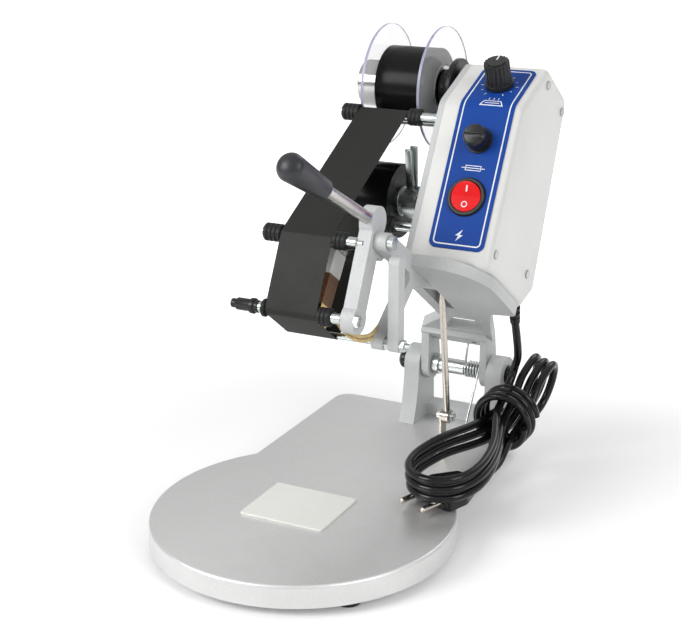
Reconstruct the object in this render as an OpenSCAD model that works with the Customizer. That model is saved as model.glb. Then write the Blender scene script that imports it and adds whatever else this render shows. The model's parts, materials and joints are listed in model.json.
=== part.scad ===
// Manual date coder: a desk machine that presses heated type through a ribbon onto a flat pack.
// A cast base carries a pivot bracket. The swing arm holds the head, the ribbon and the control box.
// Millimetres. X to the right, Y to the rear, Z up, table level at Z = 0, arm shown raised.

/* [Base plate] */
// Radius of the round nose
base_r = 100; // [92:1:112]
// Width of the straight tail
tail_w = 150; // [140:1:164]
// Distance from the nose centre to the rear edge
tail_len = 197; // [190:1:215]
// Height of the base casting
base_t = 15; // [13:0.5:20]
// Thickness of the top skin over the hollow underside
skin_t = 6; // [5:0.5:8]
// Thickness of the rim wall
rim_t = 6; // [5:0.5:8]
// Radius of the rear corners
tail_corner_r = 12; // [9:1:20]
// Radius along the upper edge
edge_r = 2; // [1:0.5:3]
// Height of the rubber feet
foot_h = 6; // [5:0.5:9]
// Diameter of the rubber feet
foot_d = 19; // [16:0.5:22]

/* [Print pad] */
// Width of the silicone pad
pad_w = 60; // [44:1:70]
// Depth of the silicone pad
pad_d = 50; // [40:1:60]
// Thickness of the silicone pad
pad_t = 1.5; // [1:0.5:3]

/* [Pivot] */
// Height of the axle above the base's top face
axle_h = 42; // [40:0.5:50]
// Distance from the rear edge to the axle
axle_inset = 14; // [13.5:0.5:18]
// Diameter of the axle
axle_d = 8; // [6:0.5:9]
// Thickness of each upright
upright_t = 12; // [9:0.5:14]
// Clear space between the uprights
upright_gap = 52; // [51:0.5:56]
// Radius of the rounded top of each upright
upright_r = 13; // [10:0.5:13]
// Angle of the arm above its printing position
arm_open = 36; // [30:0.5:38]

/* [Arm plate] */
// Height of the plate's underside above the axle
plate_z = 19.5; // [18:0.5:24]
// Thickness of the plate
plate_t = 8; // [6:0.5:10]
// Width of the plate
plate_w = 64; // [63:1:70]
// Distance from the axle to the plate's front edge
plate_front = 168; // [166:1:172]
// Radius of the plate's right front corner
plate_corner_r = 35; // [20:1:40]

/* [Control box] */
// Width of the box shell
box_w = 54; // [52:1:60]
// Height of the box above the arm plate
box_h = 150; // [146:1:160]
// Height at which the front face bends back
bend_h = 107.5; // [104:0.5:112]
// Forward lean of the front face at the bend
box_lean = 9; // [6:0.5:12]
// Wall thickness of the shell
box_wall = 3; // [2:0.25:3.5]
// Thickness of the reel plate that closes the box
reel_plate_t = 4; // [3:0.5:5]
// Width of the blue panel
panel_w = 38; // [34:1:42]
// Thickness of the blue panel
panel_t = 0.8; // [0.5:0.1:1.2]
// Diameter of the switch bezel
bezel_d = 26.5; // [25:0.5:28]
// Diameter of the temperature knob
knob_d = 17; // [14:0.5:20]
// Height of the temperature knob
knob_h = 18.5; // [14:0.5:24]

/* [Ribbon] */
// Width of the ribbon
ribbon_w = 36; // [30:1:38]
// Thickness of the ribbon
ribbon_t = 0.4; // [0.3:0.05:0.6]
// Radius of the clear reel flanges
flange_r = 42; // [36:1:44]
// Radius of the full supply roll
supply_r = 27; // [22:1:32]
// Radius of the take-up roll
takeup_r = 25; // [18:1:26]
// Diameter of the guide rods
guide_d = 7; // [5:0.5:8]

/* [Head and handle] */
// Length of the head along the arm's axle
head_len = 28; // [22:1:30]
// Length of the chrome handle rod outside its boss
handle_len = 62; // [50:1:75]
// Length of the handle grip
grip_len = 48; // [40:1:60]
// Diameter of the handle rod
handle_d = 8; // [6:0.5:9]

/* [Feed rod] */
// Diameter of the feed rod
feed_rod_d = 4.5; // [4:0.25:4.75]

/* [Cord] */
// Diameter of the power cord
cord_d = 5.6; // [5:0.1:5.8]
// Number of loops in the hank
hank_loops = 3; // [2:1:3]

/* [Hidden] */
$fn = 64;

// Clearances: running fits, sliding cuts and gaps between soft or curved faces
run_gap = 0.05;
fit_gap = 0.1;
air_gap = 0.3;
// Overshoot of a cutting shape past the face that it cuts
cut = 1;

// Where things stand along X
left_upright_x = -8;
right_upright_x = left_upright_x + upright_t + upright_gap;
right_face_x = right_upright_x + upright_t;
box_x = 42;
box_x1 = box_x + box_w;
reel_plate_x = box_x - reel_plate_t;
plate_x = 32;
plate_x1 = plate_x + plate_w;
ribbon_x = -20;
ribbon_x1 = ribbon_x + ribbon_w;
head_x = -16;
panel_mid_x = box_x + 30;

// Axle and base levels, measured from the nose centre on the base's top face
axle_y = tail_len - axle_inset;
plate_top = plate_z + plate_t;

// Side outline of the box in arm coordinates: distance ahead of the axle, height above it
box_front = 157;
box_top_front = 141;
box_top_back = 90;
box_back = 64;
box_back_h = 18.5;
box_bottom_back = 80;
crown_drop = 3;
crown_run = 6;
box_points = [
  [box_front, plate_top],
  [box_front + box_lean, plate_top + bend_h],
  [box_top_front, plate_top + box_h - crown_drop],
  [box_top_front - crown_run, plate_top + box_h],
  [box_top_back, plate_top + box_h],
  [box_back, plate_top + box_back_h],
  [box_bottom_back, plate_top]
];
box_radii = [4, 12, 4, 4, 10, 6, 3];

// Reel, rod and head places in arm coordinates
supply_at = [127.5, 162];
takeup_at = [135, 74];
top_rod_at = [158.5, 125];
rear_rod_at = [154, 50];
upper_rod_at = [213, 15];
lower_rod_at = [206, -32.5];
low_rod_at = [174, -35];
low_rod_d = 4;
head_u = 192;
link_top = [210, 31];
link_low = [200.5, -30];
link_screw_at = [206, 20];

// Small geometry helpers
function unit(v) = v / norm(v);
function mix(a, b, t) = a + (b - a) * t;
function ease(t) = t * t * (3 - 2 * t);
function corner(p, q, s, r, n) =
  let (
    a = unit(p - q),
    b = unit(s - q),
    h = acos(a * b) / 2,
    c = q + unit(a + b) * r / sin(h),
    t0 = q + a * r / tan(h) - c,
    t1 = q + b * r / tan(h) - c,
    a0 = atan2(t0.y, t0.x),
    d = (atan2(t1.y, t1.x) - a0 + 540) % 360 - 180
  )
  [for (i = [0:n]) c + r * [cos(a0 + d * i / n), sin(a0 + d * i / n)]];
function rounded(pts, r, n = 6) =
  let (m = len(pts))
  [for (i = [0:m - 1]) each corner(pts[(i + m - 1) % m], pts[i], pts[(i + 1) % m], r[i], n)];
function inward(p, q) = unit([p.y - q.y, q.x - p.x]);
function inset(pts, d) =
  let (m = len(pts))
  [
    for (i = [0:m - 1])
      let (
        n0 = inward(pts[(i + m - 1) % m], pts[i]),
        n1 = inward(pts[i], pts[(i + 1) % m])
      )
      pts[i] + (n0 + n1) * d / (1 + n0 * n1)
  ];
function same(v, n) = [for (i = [1:n]) v];
function box_outline(d) = rounded(inset(box_points, d), [for (r = box_radii) max(r - d, 0.5)]);
function arc(c, r, a0, a1, n) = [for (i = [0:n]) let (a = mix(a0, a1, i / n)) c + r * [cos(a), sin(a)]];

// A point of the raised arm in base coordinates
function raised(p) = [
  axle_y - p.x * cos(arm_open) + p.y * sin(arm_open),
  axle_h + p.x * sin(arm_open) + p.y * cos(arm_open)
];

// The object stands centred on its own footprint
rear_reach = max(
  raised(supply_at).x + flange_r,
  max([for (p = box_outline(0)) raised(p).x]),
  tail_len
);
centre_y = (rear_reach - base_r) / 2;

module placed() {
  translate([0, -centre_y, foot_h + base_t])
    children();
}

module on_arm() {
  placed()
    translate([0, axle_y, axle_h])
      rotate([-arm_open, 0, 0])
        children();
}

// Extrudes an outline given in arm coordinates from x0 to x1
module side(x0, x1) {
  translate([x1, 0, 0])
    rotate([90, 0, -90])
      linear_extrude(x1 - x0)
        children();
}

// A round bar along X at a point given in arm coordinates
module bar(p, x0, x1, d) {
  translate([x0, -p.x, p.y])
    rotate([0, 90, 0])
      cylinder(h = x1 - x0, d = d);
}

// A hexagon along X at a point given in arm coordinates
module hexagon(p, x0, x1, across) {
  translate([x0, -p.x, p.y])
    rotate([0, 90, 0])
      cylinder(h = x1 - x0, d = across / cos(30), $fn = 6);
}

// Places children on a box face from p to q, at a distance along it, with Z pointing outwards
module on_face(p, q, along) {
  at = p + unit(q - p) * along;
  translate([0, -at.x, at.y])
    rotate([atan2(q.y - p.y, p.x - q.x), 0, 0])
      children();
}

// Its straight sides stand a trace inside the circles, so that they cross and don't just touch
module slot_2d(p, q, r) {
  v = unit(q - p);
  n = [-v.y, v.x] * r * 0.998;
  union() {
    translate(p)
      circle(r);
    translate(q)
      circle(r);
    polygon([p + n, p - n, q - n, q + n]);
  }
}

// Sweeps a round section along points as one closed skin
module tube(pts, d, sides) {
  m = len(pts);
  tangents = [for (i = [0:m - 1]) unit(pts[min(i + 1, m - 1)] - pts[max(i - 1, 0)])];
  starts = [for (t = tangents) abs(t.z) > 0.9 ? [1, 0, 0] : [0, 0, 1]];
  frames = carry(tangents, unit(cross(starts[0], tangents[0])), 0, []);
  skin = [
    for (i = [0:m - 1], k = [0:sides - 1])
      pts[i] + d / 2 *
        (frames[i] * cos(360 * k / sides) + cross(tangents[i], frames[i]) * sin(360 * k / sides))
  ];
  walls = [
    for (i = [0:m - 2], k = [0:sides - 1])
      let (a = i * sides + k, b = i * sides + (k + 1) % sides)
      each [[a, b + sides, b], [a, a + sides, b + sides]]
  ];
  first_cap = [for (k = [1:sides - 2]) [0, k, k + 1]];
  last_cap = [for (k = [1:sides - 2]) [(m - 1) * sides, (m - 1) * sides + k + 1, (m - 1) * sides + k]];
  polyhedron(skin, concat(walls, first_cap, last_cap));
}

// Carries one side direction along a path without twisting it
function carry(tangents, side_dir, i, done) =
  i == len(tangents) ? done
  : let (v = unit(side_dir - tangents[i] * (side_dir * tangents[i])))
    carry(tangents, v, i + 1, concat(done, [v]));

// Least distance between points of a path that lie far apart along it, less the diameter
function self_gap(pts, step, d) =
  let (skip = ceil(3 * d / step))
  min([for (i = [0:len(pts) - 1], j = [i + skip:1:len(pts) - 1]) norm(pts[i] - pts[j])]) - d;

// Base plate: a nose disc and a tail with rounded upper edges, hollow below
foot_r_nose = 86;
foot_angle = 43;
tail_foot_in = 13;
foot_points = [
  for (s = [-1, 1]) [s * foot_r_nose * cos(foot_angle), -foot_r_nose * sin(foot_angle)],
  for (s = [-1, 1]) [s * (tail_w / 2 - tail_foot_in), tail_len - tail_foot_in]
];
foot_screw_d = 4;
foot_screw_len = 11;
foot_seat_h = 3;
foot_seat_d = 9;
boss_d = 16;
neck_r = 10;
function edge_profile(w) = [
  [0, -base_t], [w, -base_t], each arc([w - edge_r, -edge_r], edge_r, 0, 90, 4), [0, 0]
];
module tail_block(w, y, r, drop) {
  translate([0, 0, -drop])
    linear_extrude(base_t)
      polygon(rounded([[-w / 2, 0], [w / 2, 0], [w / 2, y], [-w / 2, y]], [0.5, 0.5, r, r]));
}
module base_plate() {
  c = tail_corner_r;
  half = tail_w / 2;
  neck_y = sqrt(pow(base_r + neck_r, 2) - pow(half + neck_r, 2));
  neck_end = 188 + atan2(neck_y, half + neck_r);
  floor_r = base_r - rim_t;
  color("silver")
    placed()
      difference() {
        union() {
          rotate_extrude($fn = 128)
            polygon(edge_profile(base_r));
          translate([0, tail_len - c, 0])
            rotate([90, 0, 0])
              linear_extrude(tail_len - c)
                polygon(concat(
                  [[-half, -base_t], [half, -base_t]],
                  arc([half - edge_r, -edge_r], edge_r, 0, 90, 4),
                  arc([edge_r - half, -edge_r], edge_r, 90, 180, 4)
                ));
          translate([c - half, 0, 0])
            rotate([90, 0, 90])
              linear_extrude(tail_w - 2 * c)
                polygon(edge_profile(tail_len));
          for (s = [-1, 1])
            translate([s * (half - c), tail_len - c, 0])
              rotate_extrude()
                polygon(edge_profile(c));
          for (s = [-1, 1])
            translate([0, 0, -base_t])
              linear_extrude(base_t - edge_r - 0.5)
                polygon([
                  [s * (half - 5), neck_y + 4],
                  for (p = arc([half + neck_r, neck_y], neck_r - 0.15, 172, neck_end, 8)) [s * p.x, p.y],
                  [s * half * 0.8, neck_y * 0.7]
                ]);
        }
        difference() {
          union() {
            translate([0, 0, -base_t - cut])
              cylinder(h = base_t - skin_t + cut, r = floor_r, $fn = 128);
            tail_block(tail_w - 2 * rim_t, tail_len - rim_t, c - rim_t / 2, skin_t + base_t);
          }
          for (p = foot_points)
            translate([p.x, p.y, -base_t - cut])
              cylinder(h = base_t + cut, d = boss_d);
          for (s = [-1, 1])
            translate([s * rib_x - rib_t / 2, -base_r, -base_t])
              cube([rib_t, base_r + tail_len, base_t]);
        }
        for (p = foot_points)
          translate([p.x, p.y, -base_t - cut])
            cylinder(h = foot_screw_len - foot_h + foot_seat_h + 2 * cut, d = foot_screw_d + 2 * fit_gap);
        for (p = bracket_bolt_points)
          translate([p.x, p.y, -base_t - cut])
            cylinder(h = base_t + 2 * cut, d = bolt_d + 2 * fit_gap);
        for (p = bracket_bolt_points)
          translate([p.x, p.y, -base_t - cut])
            cylinder(h = base_t - skin_t + cut, d = bolt_head_d + 1);
        for (p = rod_screw_points)
          translate([p.x, p.y, -rod_screw_len])
            cylinder(h = rod_screw_len + cut, d = rod_screw_d + 2 * fit_gap);
      }
}
rib_x = 28;
rib_t = 4;

// Rubber feet, each held by a screw sunk into it
module rubber_feet() {
  color([0.1, 0.1, 0.1])
    placed()
      for (p = foot_points)
        translate([p.x, p.y, -base_t])
          rotate_extrude()
            polygon([
              [foot_screw_d / 2 + fit_gap, 0], [foot_d / 2, 0], [foot_d / 2 - 1.5, -foot_h],
              [foot_seat_d / 2, -foot_h], [foot_seat_d / 2, -foot_seat_h],
              [foot_screw_d / 2 + fit_gap, -foot_seat_h]
            ]);
}
module foot_screws() {
  color("gray")
    placed()
      for (p = foot_points)
        translate([p.x, p.y, -base_t - foot_seat_h])
          rotate_extrude()
            polygon([
              [0, -2], [3, -2], [4, 0], [foot_screw_d / 2, 0],
              [foot_screw_d / 2, foot_screw_len - foot_h + foot_seat_h],
              [0, foot_screw_len - foot_h + foot_seat_h]
            ]);
}

// Silicone pad glued on the nose
pad_at = [-5, 3];
pad_corner_r = 1.5;
module print_pad() {
  color("whitesmoke")
    placed()
      translate([pad_at.x, pad_at.y, 0])
        linear_extrude(pad_t)
          polygon(rounded(
            [[-pad_w, -pad_d], [pad_w, -pad_d], [pad_w, pad_d], [-pad_w, pad_d]] / 2, same(pad_corner_r, 4)
          ));
}

// Pivot bracket: two flared uprights joined by a low web at the rear
web_t = 14;
web_h = 9;
foot_front = 23;
flare_h = 17;
bolt_d = 5;
bolt_len = 13;
bolt_front = 16;
bolt_head_d = 8.5;
bolt_head_h = 4;
bracket_rear = tail_len - axle_y;
bracket_bolt_points = [
  [left_upright_x + upright_t / 2, axle_y - bolt_front],
  [right_upright_x + upright_t / 2, axle_y - bolt_front],
  [left_upright_x + upright_t + 10, tail_len - web_t / 2], [right_upright_x - 10, tail_len - web_t / 2]
];
function upright_outline() = concat(
  [[-bracket_rear, -axle_h], [foot_front, -axle_h]],
  [for (i = [1:6]) let (t = i / 6) [
    mix(foot_front, upright_r, t) - 8 * t * (1 - t), mix(-axle_h, -2, t)
  ]],
  arc([0, 0], upright_r, 0, 180, 16),
  [[-bracket_rear, -flare_h]]
);
module pivot_bracket() {
  color("silver")
    placed()
      difference() {
        translate([0, axle_y, axle_h])
          union() {
            for (x = [left_upright_x, right_upright_x])
              side(x, x + upright_t)
                polygon(upright_outline());
            translate([left_upright_x + cut, bracket_rear - web_t, -axle_h])
              cube([upright_gap + 2 * (upright_t - cut), web_t, web_h]);
          }
        translate([left_upright_x - cut, axle_y, axle_h])
          rotate([0, 90, 0])
            cylinder(h = right_face_x - left_upright_x + 2 * cut, d = axle_d + 2 * run_gap);
        for (p = bracket_bolt_points)
          translate([p.x, p.y, -cut])
            cylinder(h = bolt_len - skin_t + 1 + cut, d = bolt_d + 2 * fit_gap);
      }
}
module bracket_bolts() {
  color("gray")
    placed()
      for (p = bracket_bolt_points)
        translate([p.x, p.y, -skin_t])
          difference() {
            union() {
              cylinder(h = bolt_len, d = bolt_d);
              translate([0, 0, -bolt_head_h])
                cylinder(h = bolt_head_h, d = bolt_head_d);
            }
            translate([0, 0, -bolt_head_h - cut])
              cylinder(h = bolt_head_h - 1 + cut, d = 4, $fn = 6);
          }
}

// Hinge lug of the arm, its gap to the upright beside it, and the beam between the lugs
lug_t = 6;
lug_gap = 0.5;
beam_u = 12;

// Axle with an end cap on each side and a spacer sleeve from the left lug to the spring
cap_d = 14;
cap_len = 8;
right_cap_len = 4;
sleeve_x = left_upright_x + upright_t + lug_gap + lug_t + lug_gap;
sleeve_x1 = 35.8;
sleeve_d = 11;
sleeve_collar_d = 15;
sleeve_collar_w = 5;
axle_x0 = left_upright_x - cap_len + 2;
axle_x1 = right_face_x + right_cap_len - 1;
module pivot_axle() {
  color("lightgray")
    placed()
      translate([0, axle_y, axle_h])
        bar([0, 0], axle_x0, axle_x1, axle_d);
}
module axle_caps() {
  color([0.25, 0.26, 0.27])
    placed()
      translate([0, axle_y, axle_h]) {
        translate([left_upright_x, 0, 0])
          rotate([0, -90, 0])
            cap_shape(cap_len, left_upright_x - axle_x0);
        translate([right_face_x, 0, 0])
          rotate([0, 90, 0])
            cap_shape(right_cap_len, axle_x1 - right_face_x);
      }
}
module cap_shape(len, depth) {
  difference() {
    rotate_extrude()
      polygon([[0, 0], [cap_d / 2, 0], [cap_d / 2, len - 2], [cap_d / 2 - 2, len], [0, len]]);
    translate([0, 0, -cut])
      cylinder(h = depth + cut, d = axle_d);
  }
}
module axle_sleeve() {
  color("lightgray")
    placed()
      translate([0, axle_y, axle_h])
        difference() {
          union() {
            bar([0, 0], sleeve_x, sleeve_x1, sleeve_d);
            bar([0, 0], sleeve_x, sleeve_x + sleeve_collar_w, sleeve_collar_d);
          }
          bar([0, 0], sleeve_x - cut, sleeve_x1 + cut, axle_d + 2 * run_gap);
        }
}

// Torsion spring that lifts the arm: coils on the axle, one leg on the base, one at the arm's nut
spring_wire = 1.6;
spring_turns = 5;
spring_pitch = 2.2;
spring_x = 37;
spring_r = axle_d / 2 + air_gap + spring_wire / 2 + 0.4;
spring_nut_at = [17, 28];
spring_steps = 8;
spring_start = 180 - arm_open;
spring_leg_u = beam_u - air_gap - spring_wire / 2;
spring_leg_points = [[spring_leg_u, 30], [spring_leg_u, 23], [spring_leg_u, 17], [spring_leg_u - 2, 9]];
spring_foot = [spring_x + spring_turns * spring_pitch, axle_y - 34, spring_wire / 2];
function spring_curl(i) =
  let (a = spring_start + i * 360 / spring_steps)
  [spring_x + i * spring_pitch / spring_steps, axle_y + spring_r * cos(a), axle_h + spring_r * sin(a)];
spring_last = spring_curl(spring_turns * spring_steps);
spring_path = concat(
  [for (p = spring_leg_points) [spring_x, raised(p).x, raised(p).y]],
  [for (i = [0:spring_turns * spring_steps]) spring_curl(i)],
  [for (t = [0.25, 0.6, 1]) mix(spring_last, spring_foot, t)]
);
module return_spring() {
  color("lightgray")
    placed()
      tube(spring_path, spring_wire, 6);
}

// Sheet bracket and screws that hold the feed rod's lower end
rod_x = 45.5;
rod_pivot_y = 127;
rod_pivot_h = 27;
rod_pin_d = 4;
tab_w = 9;
tab_t = 1.5;
tab_h = rod_pivot_h + 6;
tab_foot = 16;
rod_screw_d = 4;
rod_screw_len = 5;
rod_screw_head_d = 7;
tab_x = rod_x - feed_rod_d / 2 - air_gap - tab_t;
rod_screw_points = [
  [tab_x - tab_foot + 6, rod_pivot_y],
  [tab_x - tab_foot + 6, rod_pivot_y + 10]
];
module rod_bracket() {
  color("rosybrown")
    placed()
      difference() {
        union() {
          translate([tab_x, rod_pivot_y, 0])
            rotate([90, 0, 90])
              linear_extrude(tab_t)
                union() {
                  translate([-tab_w / 2, 0])
                    square([tab_w, rod_pivot_h]);
                  translate([0, rod_pivot_h])
                    circle(tab_w / 2);
                }
          translate([tab_x - tab_foot + tab_t, rod_pivot_y - tab_w / 2, 0])
            cube([tab_foot, tab_w + 10, tab_t]);
        }
        translate([tab_x - cut, rod_pivot_y, rod_pivot_h])
          rotate([0, 90, 0])
            cylinder(h = tab_t + 2 * cut, d = rod_pin_d + 2 * fit_gap);
        for (p = rod_screw_points)
          translate([p.x, p.y, -cut])
            cylinder(h = tab_t + 2 * cut, d = rod_screw_d + 2 * fit_gap);
      }
}
module rod_screws() {
  color("lightgray")
    placed() {
      for (p = rod_screw_points)
        translate([p.x, p.y, tab_t])
          rotate_extrude()
            polygon([
              [0, -rod_screw_len], [rod_screw_d / 2, -rod_screw_len], [rod_screw_d / 2, 0],
              [rod_screw_head_d / 2, 0], [rod_screw_head_d / 2 - 1, 2], [0, 2.4]
            ]);
      translate([tab_x - 2, rod_pivot_y, rod_pivot_h])
        rotate([0, 90, 0])
          rotate_extrude()
            polygon([
              [0, -1], [3, -1], [3.5, 2], [rod_pin_d / 2, 2],
              [rod_pin_d / 2, feed_rod_d + 2 * air_gap + tab_t + 3],
              [3.5, feed_rod_d + 2 * air_gap + tab_t + 3],
              [3, feed_rod_d + 2 * air_gap + tab_t + 5], [0, feed_rod_d + 2 * air_gap + tab_t + 5]
            ]);
    }
}

// Power cord: free stretch from the gland to the hank
gland_x = 85.5;
gland_len = 20;
gland_tip_d = 8;
gland_root_d = 11;
gland_a = box_points[5];
gland_b = box_points[6];
gland_mid = (gland_a + gland_b) / 2;
gland_dir = [gland_a.y - gland_b.y, gland_b.x - gland_a.x] / norm(gland_b - gland_a);
gland_tip = gland_mid - gland_dir * gland_len;
cord_exit = [gland_x, raised(gland_tip).x, raised(gland_tip).y];
cord_down = unit(cord_exit - [gland_x, raised(gland_mid).x, raised(gland_mid).y]);
cord_route = [
  [85.5, 155.5, 80],
  [85, 158.5, 72],
  [84, 161, 65],
  [82, 162, 58.5],
  [80.6, 161.3, 52.4]
];
module power_cord() {
  color([0.06, 0.06, 0.07])
    placed()
      tube(
        concat(
          [cord_exit, cord_exit + cord_down * cord_d],
          cord_route,
          [hank_at(hank_start) + hank_lead, hank_at(hank_start)]
        ),
        cord_d, 12
      );
}

// Cord hank: loops piled on each other, drawn in at the waist, with the last run led to the plug
hank_waist = [84, 140, 28];
hank_front = [74, 30, 23];
hank_rear = [92, 196, 46];
hank_front_w = 44;
hank_rear_w = 34;
hank_waist_w = 4;
hank_pitch = 2;
hank_step = 6.8;
hank_soft = 0.2;
hank_bend = 50;
hank_roll = 75;
hank_axis = unit(hank_front - hank_rear);
hank_flat = [1, -0.12, 0];
hank_across = unit(hank_flat - hank_axis * (hank_flat * hank_axis));
hank_up = cross(hank_axis, hank_across);
hank_start = -0.04;
hank_rings = 24;
function soft(v, k) = (v + sqrt(v * v + k * k) - k) / 2;
function hank_at(turn) =
  let (
    a = 90 - 360 * turn,
    c = cos(a),
    reach = c > 0 ? norm(hank_front - hank_waist) : norm(hank_rear - hank_waist),
    lobe = c > 0 ? hank_front_w : hank_rear_w,
    pinch = (sqrt(c * c + hank_soft * hank_soft) - hank_soft) / (sqrt(1 + hank_soft * hank_soft) - hank_soft),
    spiral = hank_pitch * abs((turn + 1) % 2 - 1),
    near = floor(turn + 0.5),
    climb = ease(min(max((turn - near + 0.25) / 0.5, 0), 1)),
    level = hank_step * ((hank_loops - 1) / 2 + 1 - near - climb),
    width = (hank_waist_w + lobe * pinch + spiral) * sin(a),
    roll = hank_roll * ease(min(max(0.5 - c, 0), 1))
  )
  hank_waist
    + unit(hank_front - hank_waist) * soft(reach * c, hank_bend)
    + unit(hank_rear - hank_waist) * soft(-reach * c, hank_bend)
    + hank_across * (width * cos(roll) - level * sin(roll))
    + hank_up * (width * sin(roll) + level * cos(roll));
hank_lead = unit(hank_at(hank_start) - hank_at(0)) * cord_d;
hank_end = hank_at(hank_loops + 0.03);
hank_run = unit(hank_end - hank_at(hank_loops + 0.02));
plug_dir = unit([-7, -19, 0]);
plug_tail = [89, 93, 5.6];
tail_pull = 14;
function tail_at(t) =
  pow(1 - t, 3) * hank_end
  + 3 * t * pow(1 - t, 2) * (hank_end + hank_run * tail_pull)
  + 3 * t * t * (1 - t) * (plug_tail - plug_dir * tail_pull)
  + pow(t, 3) * plug_tail;
function hank_points(rings) = concat(
  [hank_at(hank_start)],
  [for (i = [0:hank_loops * rings]) hank_at(i / rings + 0.03 * i / hank_loops / rings)],
  [for (i = [1:4]) tail_at(i / 5)],
  [plug_tail - plug_dir * cord_d, plug_tail]
);
module cord_hank() {
  fine = hank_points(4 * hank_rings);
  echo(hank_gap = self_gap(fine, norm(fine[2] - fine[1]), cord_d));
  color([0.06, 0.06, 0.07])
    placed()
      tube(hank_points(hank_rings), cord_d, 6);
}

// Tie: a few turns of cord round the waist of the hank
tie_turns = 3;
tie_r = 18.75;
tie_pitch = cord_d + 0.8;
function tie_at(turn) =
  hank_waist
  + hank_axis * tie_pitch * (turn - tie_turns / 2)
  + tie_r * (hank_across * cos(360 * turn) + hank_up * sin(360 * turn));
function tie_points(n) = [for (i = [0:tie_turns * n]) tie_at(i / n)];
module cord_tie() {
  fine = tie_points(96);
  echo(tie_gap = self_gap(fine, norm(fine[1] - fine[0]), cord_d));
  color([0.08, 0.08, 0.09])
    placed()
      tube(tie_points(24), cord_d, 6);
}

// Two-pin plug lying on the base
plug_len = 34;
plug_w = 33;
plug_thick = 10.6;
plug_neck_len = 18;
plug_neck_d = 8;
pin_len = 19;
pin_d = 4;
pin_gap = 19;
plug_heel = plug_tail + plug_dir * plug_neck_len;
plug_face = plug_heel + plug_dir * plug_len;
module at_plug(p) {
  translate(p)
    rotate([0, 0, atan2(plug_dir.y, plug_dir.x)])
      children();
}
module plug_body() {
  w = plug_w / 2;
  color([0.07, 0.07, 0.08])
    placed()
      difference() {
        union() {
          at_plug(plug_heel)
            translate([0, 0, -plug_thick / 2])
              linear_extrude(plug_thick)
                polygon(rounded(
                  [
                    [0, -w * 0.5], [plug_len * 0.5, -w], [plug_len, -w],
                    [plug_len, w], [plug_len * 0.5, w], [0, w * 0.5]
                  ],
                  [3, 8, 3, 3, 8, 3]
                ));
          at_plug(plug_tail)
            rotate([0, 90, 0])
              rotate_extrude()
                polygon([
                  [0, 0], [cord_d / 2 + 0.6, 0],
                  [plug_neck_d / 2 + 1.5, plug_neck_len + 2], [0, plug_neck_len + 2]
                ]);
        }
        for (s = [-1, 1])
          at_plug(plug_face)
            translate([-6, s * pin_gap / 2, 0])
              rotate([0, 90, 0])
                cylinder(h = 7, d = pin_d + 2 * fit_gap);
      }
}
module plug_pins() {
  color("goldenrod")
    placed()
      for (s = [-1, 1])
        at_plug(plug_face)
          translate([-6, s * pin_gap / 2, 0])
            rotate([0, 90, 0])
              rotate_extrude()
                polygon([
                  [0, 0], [pin_d / 2, 0], [pin_d / 2, pin_len + 5],
                  [pin_d / 2 - 1, pin_len + 6], [0, pin_len + 6]
                ]);
}

// Swing arm casting: hinge lugs, cross beam and flat plate with a window between them
lug_r = 11;
bush_t = 2;
left_lug_x = left_upright_x + upright_t + lug_gap;
right_lug_x1 = right_upright_x - lug_gap;
right_lug_t = 5;
beam_d = 14;
beam_h = 12;
window_u = 32;
window_in = 18;
window_front = 62;
plate_back = 82;
slot_u = 84;
slot_len = 38;
slot_w = 10;
lug_x0 = 41.3;
lug_w = 8;
low_boss_r = 4.5;
function arm_plan() = rounded([
  [left_lug_x, beam_u], [right_lug_x1, beam_u],
  [right_lug_x1 + 12, window_front - 6], [gland_x - 9, plate_back],
  [plate_x1, plate_back + 4], [plate_x1, plate_front], [plate_x, plate_front], [plate_x, window_front - 4],
  [left_lug_x, beam_u + beam_d]
], [1, 2, 6, 4, 4, plate_corner_r, 4, 6, 2]);
module arm_plan_2d() {
  scale([1, -1])
    difference() {
      polygon(arm_plan());
      polygon(rounded([
        [left_lug_x + window_in, window_u], [right_lug_x1 - 2, window_u],
        [right_lug_x1 + 8, window_front], [plate_x + 10, window_front]
      ], same(3, 4)));
    }
}
module arm_frame() {
  h = plate_top;
  color("gainsboro")
    on_arm()
      difference() {
        union() {
          translate([0, 0, plate_z])
            linear_extrude(plate_t)
              arm_plan_2d();
          for (x = [[left_lug_x, left_lug_x + lug_t], [right_lug_x1 - right_lug_t, right_lug_x1]])
            side(x[0], x[1])
              union() {
                circle(lug_r);
                polygon([
                  [-lug_r * 0.8, lug_r * 0.6], [lug_r * 0.9, -lug_r * 0.45],
                  [beam_u + beam_d, plate_z], [beam_u + 4, h], [beam_u, h]
                ]);
              }
          translate([left_lug_x, -beam_u - beam_d, plate_z - beam_h + plate_t])
            cube([right_lug_x1 - left_lug_x, beam_d, beam_h]);
          side(lug_x0, lug_x0 + lug_w)
            union() {
              slot_2d([plate_front - 12, plate_z + 2], link_screw_at, 6);
              slot_2d([plate_front - 12, plate_z], low_rod_at, low_boss_r);
              polygon([
                [plate_front - 40, plate_z + 1], [plate_front - 8, plate_z - 14], [plate_front, plate_z + 1]
              ]);
            }
        }
        bar([0, 0], left_lug_x - cut, left_lug_x + lug_t + cut, axle_d + 2 * bush_t);
        bar([0, 0], right_lug_x1 - right_lug_t - cut, right_lug_x1 + cut, axle_d + 2 * bush_t);
        translate([rod_x - slot_w / 2, -slot_u - slot_len, plate_z - 2 * cut])
          cube([slot_w, slot_len, plate_t + 3 * cut]);
        bar(link_screw_at, lug_x0 - cut, lug_x0 + lug_w + cut, link_screw_d + 2 * fit_gap);
        bar(low_rod_at, lug_x0 - cut, lug_x0 + lug_w + cut, low_rod_d + 2 * fit_gap);
        translate([spring_nut_x, -spring_nut_at.x, plate_z - beam_h])
          cylinder(h = 3 * beam_h, d = spring_stud_d + 2 * fit_gap);
      }
}
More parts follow.
